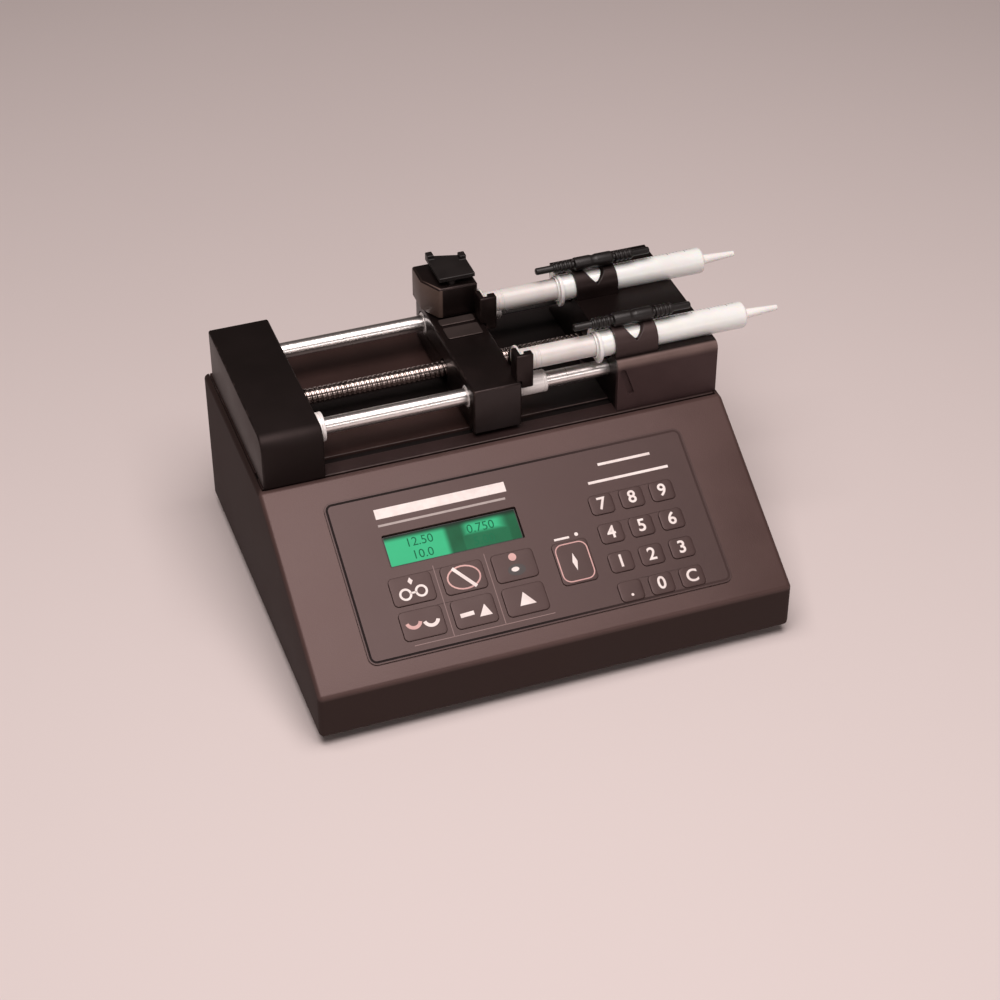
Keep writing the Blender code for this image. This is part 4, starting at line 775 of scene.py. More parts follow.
def makeHolder():
    # brown in front, with a painted highlight along its rounded upper edge, black above and behind
    low, high = nodeBox("syringe_holder")
    rim = holderSet["rim"]
    paint = blendedFinish("holderPaint", holderLook, holderRimHighlightLook,
                          lambda tree, place: along(tree, place, "Z", high[2] - 1.6 * rim, high[2] - 0.6 * rim),
                          Specular_IOR_Level=0.24, Specular_Tint=warmSheen)
    tree = paint.node_tree
    tone = next(node for node in tree.nodes if node.type == "GROUP")
    black = along(tree, addNode(tree, "TexCoord").outputs["Object"], "Y", low[1] + 0.5 * rim, low[1] + rim)
    for label in ("Color", "Tint"):
        before = tone.inputs[label].links[0].from_socket
        tree.links.new(mixColors(tree, black, before, blockLook[label.lower()]), tone.inputs[label])
    holder = dressNode("syringe_holder", "painted_syringe_holder", paint, blockSet["edge"])
    holder.modifiers.clear()    # its solid is already rounded
    holder.data.set_sharp_from_angle(angle=math.radians(holderSet["sharp"]))


makeHolder()
dressNode("release_button", "releaseButton", blackPlastic, blockSet["buttonEdge"], blackEdge)

strapSet = {"thick": 2.2 * mm, "notch": 6.5 * mm, "notchLow": 4 * mm, "arc": 40, "across": 9, "edge": 0.4 * mm,
            "notchPower": 0.9}


def makeStrap(label, plastic, edgeFinish):
    # arch: a path up one leg, over the barrel and down the other, carried across X; the notch opens with height
    node = label + "_clamp_strap"
    low, high = nodeBox(node)
    centre = (low + high) / 2
    outer = (high[1] - low[1]) / 2
    axis = high[2] - outer
    half = (high[0] - low[0]) / 2
    rise = outer - strapSet["notchLow"]
    inner = outer - strapSet["thick"]
    starts = [math.asin(strapSet["notchLow"] / size) for size in (outer, inner)]
    arc = np.linspace(0, math.pi, strapSet["arc"])
    angle = np.unique(np.concatenate([arc, starts, [math.pi - a for a in starts]]))
    share = np.linspace(0, 1, strapSet["across"])
    grids = []
    for side in (-1, 1):
        skins = []
        for size in (outer, inner):
            y = np.concatenate([[-size], -size * np.cos(angle), [size]])
            z = np.concatenate([[low[2]], axis + size * np.sin(angle), [low[2]]])
            height = np.clip((z - axis - strapSet["notchLow"]) / rise, 0, 1)
            opened = height ** strapSet["notchPower"] * strapSet["notch"]
            opened[opened < 1e-6] = 0
            x = opened[:, None] + (half - opened[:, None]) * share
            skins.append(np.stack([centre[0] + side * x, centre[1] + y[:, None] + 0 * x,
                                   z[:, None] + 0 * x], -1))
        around = np.concatenate([skins[0], skins[1][:, ::-1]], 1)
        keep = np.ones((len(around) - 1, around.shape[1]), bool)
        closed = np.abs(skins[0][:, 0, 0] - centre[0]) + np.abs(skins[1][:, 0, 0] - centre[0]) < 1e-7
        keep[:, -1] = ~(closed[1:] & closed[:-1])
        grids.append((around, True, keep))
        grids += [(np.stack([skins[0][end], skins[1][end]]), False, None) for end in (0, -1)]
    mesh = meshOf("moulded_" + node, grids)
    strap = putPiece("moulded_" + node, mesh, plastic, bodyOf[node], [node])
    roundEdges(strap, strapSet["edge"], 3, 35, edgeFinish)


makeStrap("front", strapPlastic, strapEdge)
# the rear strap takes the darker copy of the strap plastic as painted shade
makeStrap("rear", rearStrapShadePlastic, rearStrapShadeEdge)
print("blocks, pusher and straps made")


# Rods, screw, bushes

rodSet = {"chamfer": 0.8 * mm, "sides": 64}


def makeRods():
    for node in ("front_guide_rod", "rear_guide_rod"):
        low, high = nodeBox(node)
        radius = (high[2] - low[2]) / 2
        cut = rodSet["chamfer"]
        line = [(low[0], 0), (low[0], radius - cut), (low[0] + cut, radius), (high[0] - cut, radius),
                (high[0], radius - cut), (high[0], 0)]
        mesh = meshOf("ground_" + node, [turned(line, (low + high) / 2, rodSet["sides"])])
        putPiece("ground_" + node, mesh, groundSteel, "base", [node])


screwSet = {"lead": 3 * mm, "depth": 0.5 * mm, "crest": 0.52, "root": 0.76, "chamfer": 0.5 * mm, "sides": 40,
            "perTurn": 16}


def makeLeadScrew():
    # right-hand thread: the radius at (x, angle) falls from crest to root with x / lead - angle / turn
    low, high = nodeBox("lead_screw")
    centre = (low + high) / 2
    radius = (high[2] - low[2]) / 2
    bearing = nodeBox("screw_bearing")[1][0]
    holder = nodeBox("syringe_holder")[0][0]
    angle = np.linspace(0, 2 * math.pi, screwSet["sides"], endpoint=False)
    count = int((holder - bearing) / screwSet["lead"] * screwSet["perTurn"])
    x = np.linspace(bearing, holder, count)[:, None]
    phase = np.abs(((x / screwSet["lead"] - angle / (2 * math.pi)) % 1) * 2 - 1)
    fall = np.clip((phase - screwSet["crest"]) / (screwSet["root"] - screwSet["crest"]), 0, 1)
    ends = np.clip(np.minimum(x - bearing, holder - x) / screwSet["lead"], 0, 1)
    depth = screwSet["depth"] * (fall * ends + 1 - ends)
    spun = radius - depth
    thread = np.stack([x + 0 * angle, centre[1] + spun * np.cos(angle), centre[2] + spun * np.sin(angle)], -1)
    plain, cut = radius - screwSet["depth"], screwSet["chamfer"]
    left = turned([(low[0], 0), (low[0], plain - cut), (low[0] + cut, plain), (bearing, plain)], centre,
                  screwSet["sides"])
    right = turned([(holder, plain), (high[0] - cut, plain), (high[0], plain - cut), (high[0], 0)], centre,
                   screwSet["sides"])
    mesh = meshOf("leadScrew", [left, (thread, True, None), right], sharp=60)
    putPiece("leadScrew", mesh, screwSteel, "screw", ["lead_screw"])


ringSet = {"play": 0.25 * mm, "round": 0.6 * mm, "boreRound": 0.2 * mm, "grooveRound": 0.12 * mm, "sides": 56,
           "endGroove": (2.4 * mm, 0.9 * mm, 0.5 * mm), "frontGroove": (3 * mm, 1 * mm, 0.4 * mm)}


def ringLine(low, high, inner, outer, grooves):
    # closed section of a bush: outer side with rounded ends and turned grooves, then back through the bore
    corners = [(low, inner), (low, outer)]
    for at, width, depth in grooves:
        corners += [(at - width / 2, outer), (at - width / 2, outer - depth), (at + width / 2, outer - depth),
                    (at + width / 2, outer)]
    corners += [(high, outer), (high, inner)]
    bore, ends = ringSet["boreRound"], ringSet["round"]
    radius = [bore, ends] + [ringSet["grooveRound"]] * (4 * len(grooves)) + [ends, bore]
    line = filleted(corners, radius, 4, closed=True)
    return np.concatenate([line, line[:1]])


def makeRings():
    rod = np.ptp(nodePoints("front_guide_rod")[:, 2]) / 2
    pusherEnd = nodeBox("pusher_block")[1][0]
    for node in ("front_bush", "rear_bush", "front_rod_collar"):
        low, high = nodeBox(node)
        outer = (high[2] - low[2]) / 2
        back, width, depth = ringSet["endGroove"]
        grooves = [(high[0] - back, width, depth)]
        if node.endswith("bush"):
            ahead, width, depth = ringSet["frontGroove"]
            grooves = [(pusherEnd + ahead, width, depth)] + grooves
        line = ringLine(low[0], high[0], rod + ringSet["play"], outer, grooves)
        mesh = meshOf("turned_" + node, [turned(line, (low + high) / 2, ringSet["sides"])])
        putPiece("turned_" + node, mesh, turnedMetal, bodyOf[node], [node])


makeRods()
makeLeadScrew()
makeRings()
print("rods and screw made")


# Syringes

barrelSet = {"radius": 7.8 * mm, "wall": 0.8 * mm, "bore": 0.8 * mm, "nozzle": 22 * mm, "nozzleBase": 3 * mm,
             "coneFrom": -0.2 * mm, "coneTo": 1.4 * mm, "innerCone": -1.5 * mm, "sides": 72,
             "fillet": (0.25 * mm, 0.25 * mm, 1.6 * mm, 0.8 * mm, 0.3 * mm, 0.2 * mm, 0.3 * mm, 1.2 * mm),
             "flangeFrom": 1 * mm, "flangeRoot": 0.2 * mm,
             "flange": ((0, 0), (0, 0.94), (0.3 * mm, 1), (1.7 * mm, 1), (2 * mm, 0.94), (2 * mm, 0), (0, 0)),
             "scaleTurn": 128, "scaleGap": 3 * mm, "tickPitch": 2.2 * mm, "tickWidth": 0.3 * mm,
             "tickLift": 0.03 * mm, "longTick": 34, "shortTick": 20}    # flange: (along, share of its ears) rows


def makeBarrel(label):
    node = label + "_barrel"
    low, high = nodeBox(node)
    centre = middle(label + "_plunger")
    points = nodePoints(node)
    tip = points[points[:, 0] > high[0] - touch]
    tipRadius = np.ptp(tip[:, 2]) / 2
    radius, wall, bore, sides = (barrelSet[name] for name in ("radius", "wall", "bore", "sides"))
    end = high[0] - barrelSet["nozzle"]    # where the nozzle starts
    corners = [(low[0], radius - wall), (low[0], radius), (end + barrelSet["coneFrom"], radius),
               (end + barrelSet["coneTo"], barrelSet["nozzleBase"]), (high[0], tipRadius), (high[0], bore),
               (end, bore), (end + barrelSet["innerCone"], radius - wall)]
    line = filleted(corners, barrelSet["fillet"], 6, closed=True)
    line = np.concatenate([line, line[:1]])
    grids = [turned(line, centre, sides)]
    # flange: two ears, an oval cut flat above and below, round the barrel's open end
    turn = np.linspace(0, 2 * math.pi, sides, endpoint=False)
    ear = (high[1] - low[1]) / 2
    flat = (high[2] - low[2]) / 2
    oval = np.stack([ear * np.cos(turn), np.clip(ear * np.sin(turn), -flat, flat)], -1)
    hole = (radius - barrelSet["flangeRoot"]) * np.stack([np.cos(turn), np.sin(turn)], -1)
    x, share = np.array(barrelSet["flange"]).T
    flange = np.empty((len(x), sides, 3))
    flange[..., 0] = low[0] + barrelSet["flangeFrom"] + x[:, None]
    flange[..., 1:] = centre[1:] + hole + (oval - hole) * share[:, None, None]
    grids.append((flange, True, None))
    mesh = meshOf(label + "Barrel", grids)
    putPiece(label + "Barrel", mesh, barrelPlastic, "base", [node])
    makeScale(label, centre, radius, end)


def makeScale(label, centre, radius, end):
    # printed ticks, each a short band bent round the barrel
    clampEnd = nodeBox(label + "_clamp_strap")[1][0]
    grids = []
    spread = np.radians(np.linspace(-1, 1, 9))
    turn = math.radians(barrelSet["scaleTurn"])
    count = int((end - clampEnd - 2 * barrelSet["scaleGap"]) / barrelSet["tickPitch"])
    for tick in range(count):
        x = clampEnd + barrelSet["scaleGap"] + tick * barrelSet["tickPitch"]
        wide = barrelSet["longTick"] if tick % 5 == 0 else barrelSet["shortTick"]
        path = np.column_stack([turn + spread * wide, np.zeros_like(spread)])

        def band(a, b, c):    # angle round the barrel, along it and off it
            y, z = centre[1] - (radius + c) * np.cos(a), centre[2] + (radius + c) * np.sin(a)
            return np.stack([x + b, y, z], -1)

        grids += ribbonGrid(path, barrelSet["tickWidth"], barrelSet["tickLift"], band)
    mesh = meshOf(label + "Scale", grids)
    putPiece(label + "Scale", mesh, darkInk, "base")


plungerSet = {"thumb": 2 * mm, "thumbRadius": 9 * mm, "head": 6 * mm, "neck": 1.2 * mm, "inset": 0.2 * mm,
              "rings": (5 * mm, 8 * mm, 11 * mm), "ring": 0.9 * mm, "ringDepth": 0.3 * mm, "groove": 0.7 * mm,
              "headGroove": (1.2 * mm, 1.6 * mm, 3.6 * mm, 4 * mm), "nose": (0.4 * mm, 1.2 * mm), "sides": 64,
              "padFillet": 0.8 * mm, "ringFillet": 0.2 * mm, "headFillet": 0.3 * mm, "stemFillet": 0.1 * mm}


def makePlunger(label):
    # thumb pad, round stem with finger rings, and grooved head: one line turned about the syringe's axis
    node = label + "_plunger"
    low, high = nodeBox(node)
    centre = (low + high) / 2
    points = nodePoints(node)
    radius = np.ptp(points[points[:, 0] > high[0] - touch][:, 2]) / 2
    stem = radius - plungerSet["inset"]
    padEnd = low[0] + plungerSet["thumb"]
    headStart = high[0] - plungerSet["head"]
    pad = plungerSet["thumbRadius"]
    corners = [(low[0], 0), (low[0], pad), (padEnd, pad), (padEnd, stem)]
    rounding = [0, plungerSet["padFillet"], plungerSet["padFillet"], plungerSet["neck"]]
    wide, deep = plungerSet["ring"], plungerSet["ringDepth"]
    for start in padEnd + np.array(plungerSet["rings"]):
        corners += [(start, stem), (start + 0.2 * wide, stem - deep), (start + 0.8 * wide, stem - deep),
                    (start + wide, stem)]
        rounding += [plungerSet["ringFillet"]] * 4
    groove = radius - plungerSet["groove"]
    fall, floor, rise, crest = (headStart + at for at in plungerSet["headGroove"])
    flat, drop = plungerSet["nose"]
    corners += [(headStart, stem), (headStart, radius), (fall, radius), (floor, groove), (rise, groove),
                (crest, radius), (high[0] - flat, radius), (high[0], radius - drop), (high[0], 0)]
    rounding += [plungerSet["stemFillet"]] + [plungerSet["headFillet"]] * 7 + [0]
    line = filleted(corners, rounding, 4)
    mesh = meshOf(label + "Plunger", [turned(line, centre, plungerSet["sides"])])
    putPiece(label + "Plunger", mesh, plungerPlastic, "pusher", [node])


handleSet = {"hub": 4 * mm, "hubHalf": 12 * mm, "waist": 0.5 * mm, "bar": 2.1 * mm, "grip": 3.4 * mm,
             "gripFrom": 14 * mm, "gripTo": 25 * mm, "rings": 4, "ringDepth": 0.7 * mm, "ringShare": 0.62,
             "flare": 2 * mm, "hubFillet": (0.4 * mm, 0.6 * mm, 1 * mm, 0.6 * mm, 0.6 * mm),
             "ringFillet": (0.4 * mm, 0.4 * mm, 0.25 * mm, 0.25 * mm), "endFillet": (0.5 * mm, 1.6 * mm, 0),
             "sides": 40}


def makeHandle(label):
    # bar that lifts the clamp: a stout hub, two ringed grips and thin rounded ends, turned in one piece
    node = label + "_clamp_handle"
    low, high = nodeBox(node)
    centre = (low + high) / 2
    half = (high[0] - low[0]) / 2
    hub, bar, grip = handleSet["hub"], handleSet["bar"], handleSet["grip"]
    corners = [(0, hub - handleSet["waist"]), (handleSet["flare"], hub), (handleSet["hubHalf"], hub),
               (handleSet["hubHalf"], bar), (handleSet["gripFrom"], bar)]
    pitch = (handleSet["gripTo"] - handleSet["gripFrom"]) / handleSet["rings"]
    for ring in range(handleSet["rings"]):
        start = handleSet["gripFrom"] + ring * pitch
        stop, valley = start + handleSet["ringShare"] * pitch, grip - handleSet["ringDepth"]
        corners += [(start, grip), (stop, grip), (stop, valley), (start + pitch, valley)]
    corners += [(handleSet["gripTo"], bar), (half, bar), (half, 0)]
    radius = handleSet["hubFillet"] + handleSet["ringFillet"] * handleSet["rings"] + handleSet["endFillet"]
    right = filleted(corners, radius, 4)
    line = np.concatenate([right[::-1] * (-1, 1), right]) + (centre[0], 0)
    mesh = meshOf(label + "ClampBar", [turned(line, centre, handleSet["sides"])])
    putPiece(label + "ClampBar", mesh, blackPlastic, bodyOf[node], [node])


for label in ("front", "rear"):
    makeBarrel(label)
    makePlunger(label)
    makeHandle(label)
print("syringes and clamps made")


# Panel: overlay, keys, display

overlayLow, overlayHigh = panelBox("panel_overlay")
overlaySize = (overlayHigh - overlayLow)[:2]
overlayMid = (overlayHigh + overlayLow)[:2] / 2
overlayTop = overlayHigh[2]
overlaySet = {"corner": 5 * mm, "keyCorner": 2.9 * mm, "line": 1.3 * mm, "lineIn": 0.9 * mm, "ink": 0.03 * mm,
              "under": 0.05 * mm, "edge": 0.15 * mm, "windowCorner": 1 * mm, "fadeFrom": -20 * mm,
              "fadeTo": 100 * mm}
borderLineShadeLook = {"color": rgb(30, 20, 19), "tint": rgb(23, 15, 14)}


def makeOverlay():
    loops = [roundedRect(*overlaySize, overlaySet["corner"], 8, overlayMid)]
    loops += [roundedRect(*(high - low)[:2] + 2 * caseSet["keyGap"], overlaySet["keyCorner"], 6,
                          (low + high)[:2] / 2)
              for low, high in keyBoxes.values()]
    loops.append(roundedRect(*windowSize, overlaySet["windowCorner"], 4, windowMid))
    mesh = sheetMesh("panelSheet", loops, overlaySet["under"], overlayTop, onPanel)
    sheet = putPiece("panelSheet", mesh, overlaySheet, "base", ["panel_overlay"])
    roundEdges(sheet, overlaySet["edge"], 2, 60)


def printed(name, paths, width, finish, body="base", base=overlayTop):
    # ink lines: each path is (rows of across and up, closed)
    place = lambda across, up, lift: onPanel(across, up, lift + base)
    grids = []
    for path, closed in paths:
        grids += ribbonGrid(path, width, overlaySet["ink"], place, closed)
    return putPiece(name, meshOf(name, grids), finish, body)


def inked(name, shapes, finish, body="base", base=overlayTop):    # filled ink shapes
    loops = [np.asarray(shape, float) for shape in shapes]
    mesh = sheetMesh(name, loops, base, base + overlaySet["ink"], onPanel)
    return putPiece(name, mesh, finish, body)


def borderLineShadeFinish():
    # border line printed round the sheet, its darkness painted shade: dark at the left, fading into the sheet
    # towards the right
    finish, tree, shader = newFinish("panelBorderShade", Roughness=0.6, Specular_IOR_Level=0.12)
    place = addNode(tree, "TexCoord").outputs["Object"]
    fade = along(tree, place, "X", caseMid + overlaySet["fadeFrom"], caseMid + overlaySet["fadeTo"])
    cloud = addNode(tree, "TexNoise", Vector=place, Scale=160.0, Detail=3.0)
    dark = mixColors(tree, cloud.outputs["Fac"], borderLineShadeLook["color"], borderLineShadeLook["tint"])
    tree.links.new(mixColors(tree, fade, dark, overlayLook["color"]), shader.inputs["Base Color"])
    return finish


# plainBar and thinBar are (up, cut short by, width) above the display
printSet = {"columnLine": 0.45 * mm, "columnLow": 11.5 * mm, "columnHigh": 11 * mm,
            "underline": (8 * mm, 14 * mm), "plainBar": (13 * mm, 2 * mm, 6 * mm),
            "thinBar": (6 * mm, 4 * mm, 1.3 * mm), "keypadWidth": 1.6 * mm,
            "keypadBars": ((53 * mm, 85 * mm, 97 * mm), (44 * mm, 93 * mm, 87 * mm)),
            "runDash": (-7.5 * mm, 1.5 * mm, 15.2 * mm), "runWidth": 1.3 * mm,
            "runDot": (6 * mm, 16 * mm, 1.1 * mm)}


def barPath(left, right, up):    # a straight ink line across the panel
    return np.array([(left, up), (right, up)]), False


def makePanelPrint():
    inset = overlaySet["lineIn"] + overlaySet["line"] / 2
    border = roundedRect(*(overlaySize - 2 * inset), overlaySet["corner"] - inset, 8, overlayMid)
    printed("panelBorder", [(border, True)], overlaySet["line"], borderLineShadeFinish())
    keys = {name: (low + high)[:2] / 2 for name, (low, high) in keyBoxes.items()}
    first, second, third = (keys[name][0] for name in ("key_mode", "key_diameter", "key_rate"))
    bottom, top = keys["key_volume"][1] - printSet["columnLow"], keys["key_mode"][1] + printSet["columnHigh"]
    lines = [(np.array([(x, bottom), (x, top)]), False) for x in ((first + second) / 2, (second + third) / 2)]
    lines.append(barPath(first - printSet["underline"][0], third + printSet["underline"][1], bottom))
    printed("columnLines", lines, printSet["columnLine"], faintInk)
    # plain bars where lettering would be
    left, right = windowMid[0] - windowSize[0] / 2, windowMid[0] + windowSize[0] / 2
    top = windowMid[1] + windowSize[1] / 2
    for name, finish in (("plainBar", paleInk), ("thinBar", greyInk)):
        up, short, width = printSet[name]
        printed(name, [barPath(left, right - short, top + up)], width, finish)
    printed("keypadBars", [barPath(*bar) for bar in printSet["keypadBars"]], printSet["keypadWidth"], paleInk)
    run = keys["key_run"]
    near, far, up = printSet["runDash"]
    printed("runDash", [barPath(run[0] + near, run[0] + far, run[1] + up)], printSet["runWidth"], paleInk)
    across, up, radius = printSet["runDot"]
    inked("runDot", [arcLine(radius, 0, 345, (run[0] + across, run[1] + up))], paleInk)


keySet = {"edge": 0.3 * mm, "crown": 0.12 * mm, "corner": 2.6 * mm, "reach": 0.32 * mm, "digit": 10.4 * mm,
          "bolder": 0.2 * mm, "crownShares": (0, 0.35, 0.6, 0.78, 0.9)}


def makeKey(node):
    # pillow: a rounded rectangle drawn in towards its middle, crowned, with straight sides below
    low, high = keyBoxes[node]
    size, centre = (high - low)[:2] + 2 * keySet["reach"], (high + low)[:2] / 2
    plan = roundedRect(*size, keySet["corner"], 8)
    top, edge, crown = high[2], keySet["edge"], keySet["crown"]
    section = [(share, top - crown * share ** 4) for share in keySet["crownShares"]]
    bend = np.linspace(0, math.pi / 2, 6)
    rim = [(1 - edge * (1 - math.sin(a)) / (size.min() / 2), top - crown - edge * (1 - math.cos(a)))
           for a in bend]
    section += rim + [(1, low[2]), (0, low[2])]
    share, lift = np.array(section).T
    flat = plan[None] * share[:, None, None] + centre
    grid = onPanel(flat[..., 0], flat[..., 1], np.broadcast_to(lift[:, None], flat.shape[:2]))
    mesh = meshOf(node + "Cap", [(grid, True, None)], sharp=50)
    putPiece(node + "Cap", mesh, keySheet, node, [node])
    return centre, top


def printDigit(node, text, centre, top):
    place = lambda across, up, lift: onPanel(across + centre[0], up + centre[1], lift)
    mesh = textMesh(node + "Digit", text, keySet["digit"], overlaySet["ink"], top, place, 4, keySet["bolder"])
    putPiece(node + "Digit", mesh, paleInk, node)


def arcLine(radius, start, stop, centre=(0, 0), count=24, squash=1.0):
    angle = np.radians(np.linspace(start, stop, count))
    return np.column_stack([radius * np.cos(angle) + centre[0], squash * radius * np.sin(angle) + centre[1]])


def iconShapes():
    # plain marks for the function keys in millimetres from each key's middle: (kind, rows, stroke width, ink)
    ring = lambda r, c, w, ink="pale", squash=1.0: ("loop", arcLine(r, 0, 345, c, 24, squash), w, ink)
    arc = lambda r, a, b, c, w, ink="pale": ("line", arcLine(r, a, b, c), w, ink)
    line = lambda w, ink, *rows: ("line", np.array(rows, float), w, ink)
    fill = lambda ink, *rows: ("fill", np.array(rows, float), 0, ink)
    oval = lambda r, c, ink, squash: ("fill", arcLine(r, 0, 345, c, 24, squash), 0, ink)
    return {
        "key_mode": [fill("pale", (0, 7), (1.5, 4.8), (0, 2.6), (-1.5, 4.8)), ring(3, (-4.6, -2.4), 1.3),
                     ring(3, (4.6, -2), 1.3), line(1.1, "pale", (-1.9, -2.2), (1.9, -2.1))],
        "key_volume": [arc(4, 195, 345, (-5, 2.4), 2.0, "rose"), arc(4, 195, 345, (5, 1.6), 2.0)],
        "key_diameter": [ring(9.4, (0, 0), 0.9, "rose", 0.72), line(2.0, "pale", (-5.2, 6.4), (5.6, -6.6))],
        "key_enter": [line(2.4, "pale", (-8.6, -1.2), (-0.6, -0.8)),
                      fill("pale", (2, -4), (9.4, -4), (6.2, 2.8))],
        "key_rate": [oval(2.3, (0, 5.2), "rose", 1.0), oval(5.2, (0.4, -2.6), "dark", 0.66),
                     oval(2.3, (-0.4, -2.2), "pale", 0.6)],
        "key_refill": [fill("pale", (-4.2, -3.4), (5.4, -3.4), (-0.6, 4.4))],
        "key_run": [("loop", roundedRect(18.6, 22.6, 4.5, 6), 0.7, "rose"),
                    fill("pale", (0, 5.4), (1.5, 0), (0, -5.4), (-1.5, 0))],
    }


def printIcon(node, shapes, centre, top):
    for ink, finish in (("pale", paleInk), ("rose", roseInk), ("dark", darkInk)):
        place = lambda across, up, lift: onPanel(across, up, lift + top)
        thick = overlaySet["ink"] * (2 if ink == "pale" else 1.5)
        grids, fills = [], []
        for kind, rows, width, own in shapes:
            rows = rows * mm + centre
            if own == ink and kind == "fill":
                fills.append(rows)
            elif own == ink:
                grids += ribbonGrid(rows, width * mm, thick, place, kind == "loop")
        if grids:
            name = f"{node}_{ink}Lines"
            putPiece(name, meshOf(name, grids), finish, node)
        if fills:
            lift = top + (0 if ink == "dark" else 0.5 * overlaySet["ink"])
            inked(f"{node}_{ink}Shapes", fills, finish, node, lift)


def makeKeys():
    icons = iconShapes()
    digits = {"point": ".", "clear": "C"}
    for node in keyNames:
        centre, top = makeKey(node)
        if node in icons:
            printIcon(node, icons[node], centre, top)
        else:
            label = node.split("_")[1]
            printDigit(node, digits.get(label, label), centre, top)


displaySet = {"face": 0.15 * mm, "corner": 0.6 * mm, "bezel": 0.7 * mm, "edge": 0.3 * mm, "digit": 7.4 * mm,
              "ink": 0.02 * mm, "readouts": (("12.50", -19 * mm, 2.9 * mm), ("0.750", 17 * mm, 2.9 * mm),
                                             ("10.0", -19 * mm, -4.9 * mm), ("5.00", 17 * mm, -4.9 * mm))}
displayLook = {"bright": rgb(52, 182, 128), "dim": rgb(4, 72, 42), "shade": rgb(5, 36, 23)}
displayInkLook = {"color": rgb(20, 104, 70), "tint": rgb(22, 112, 76), "gloss": (0.5, 0.4)}


def displayFinish():
    # green backlight: bright at the left, dim in a column at the middle, at the lower right and the right end
    finish, tree, shader = newFinish("displayGreen", Roughness=0.35, Specular_IOR_Level=0.1,
                                     Emission_Strength=0.15)
    place = addNode(tree, "TexCoord").outputs["Object"]
    split = addNode(tree, "SeparateXYZ", Vector=place)
    low = onPanel(windowMid[0] - windowSize[0] / 2, windowMid[1] - windowSize[1] / 2, 0)
    high = onPanel(windowMid[0] + windowSize[0] / 2, windowMid[1] + windowSize[1] / 2, 0)

    def share(axis, start, stop):    # smooth change between two shares of the window
        index = "XYZ".index(axis)
        span = high[index] - low[index]
        return ramp(tree, split.outputs[axis], low[index] + start * span, low[index] + stop * span)

    def combine(operation, a, b):
        return addNode(tree, "Math", {"operation": operation}, in0=a, in1=b).outputs[0]

    column = combine("MULTIPLY", share("X", 0.43, 0.48), share("X", 0.64, 0.56))
    lower = combine("MULTIPLY", share("X", 0.5, 0.58), share("Z", 0.56, 0.4))
    right = share("X", 0.82, 0.93)
    dim = combine("MAXIMUM", combine("MAXIMUM", column, combine("MULTIPLY", lower, 0.9)), right)
    cloud = addNode(tree, "TexNoise", Vector=place, Scale=90.0, Detail=2.0)
    dim = combine("ADD", combine("MULTIPLY", dim, 0.85), combine("MULTIPLY", cloud.outputs["Fac"], 0.16))
    green = mixColors(tree, dim, displayLook["bright"], displayLook["dim"])
    shaded = mixColors(tree, share("Z", 0.7, 0.88), green, displayLook["shade"])    # painted shadow of the window's edge along its top
    tree.links.new(shaded, shader.inputs["Base Color"])
    tree.links.new(shaded, shader.inputs["Emission Color"])
    return finish


def makeDisplay():
    dressNode("lcd_module", "displayModule", blackPlastic, displaySet["edge"], None, 2)
    face = [roundedRect(*(glassSize - 2 * displaySet["bezel"]), displaySet["corner"], 4, windowMid)]
    top = glassFace + displaySet["face"]
    mesh = sheetMesh("displayFace", face, glassFace, top, onPanel)
    putPiece("displayFace", mesh, displayFinish(), "base")
    greenInk = toneFinish("displayInk", displayInkLook, Specular_IOR_Level=0.08)
    for index, (text, across, up) in enumerate(displaySet["readouts"]):
        place = lambda a, b, lift: onPanel(a + windowMid[0] + across, b + windowMid[1] + up, lift)
        mesh = textMesh(f"readout{index}", text, displaySet["digit"], displaySet["ink"], top, place, 3)
        putPiece(f"readout{index}", mesh, greenInk, "base")


makeOverlay()
makePanelPrint()
makeKeys()
makeDisplay()
print("panel made")


# Rear connections, screws and the inside

inletSet = {"edge": 0.5 * mm, "blade": (2 * mm, 4 * mm), "corner": 0.6 * mm, "root": 18 * mm,
            "neck": 3.5 * mm, "tip": 2.4 * mm, "tipShare": 0.6,
            "blades": ((-7 * mm, -1.5 * mm), (7 * mm, -1.5 * mm), (0, 2.5 * mm))}


def makeInlet():
    # each blade is a rounded section carried back from the socket's floor and drawn in at its tip
    dressNode("mains_inlet", "mainsInlet", blackPlastic, inletSet["edge"], blackEdge)
    low, high = nodeBox("mains_inlet")
    centre = (low + high) / 2
    root, neck, tip = (high[1] - inletSet[name] for name in ("root", "neck", "tip"))
    y, size = np.array([(root, 0), (root, 1), (neck, 1), (tip, inletSet["tipShare"]), (tip, 0)]).T[:, :, None]
    section = roundedRect(*inletSet["blade"], inletSet["corner"], 3)
    grids = []
    for across, up in inletSet["blades"]:
        x, z = centre[0] + across + section[:, 0] * size, centre[2] + up + section[:, 1] * size
        grids.append((np.stack([x, y + 0 * x, z], -1), True, None))
    putPiece("inletBlades", meshOf("inletBlades", grids), turnedMetal, "base")
    dressNode("power_rocker", "powerRocker", blackPlastic, inletSet["edge"], blackEdge)


screwHead = {"radius": 3 * mm, "rise": 1.3 * mm, "recess": 0.9 * mm, "slot": 0.55 * mm, "reach": 1.9 * mm,
             "proud": 0.2 * mm, "panelInset": 8 * mm, "inletInset": 2.6 * mm, "inletShare": 0.62,
             "baseInset": (45 * mm, 12 * mm), "runOut": 0.4 * mm, "skirt": 0.4 * mm, "sides": 64}


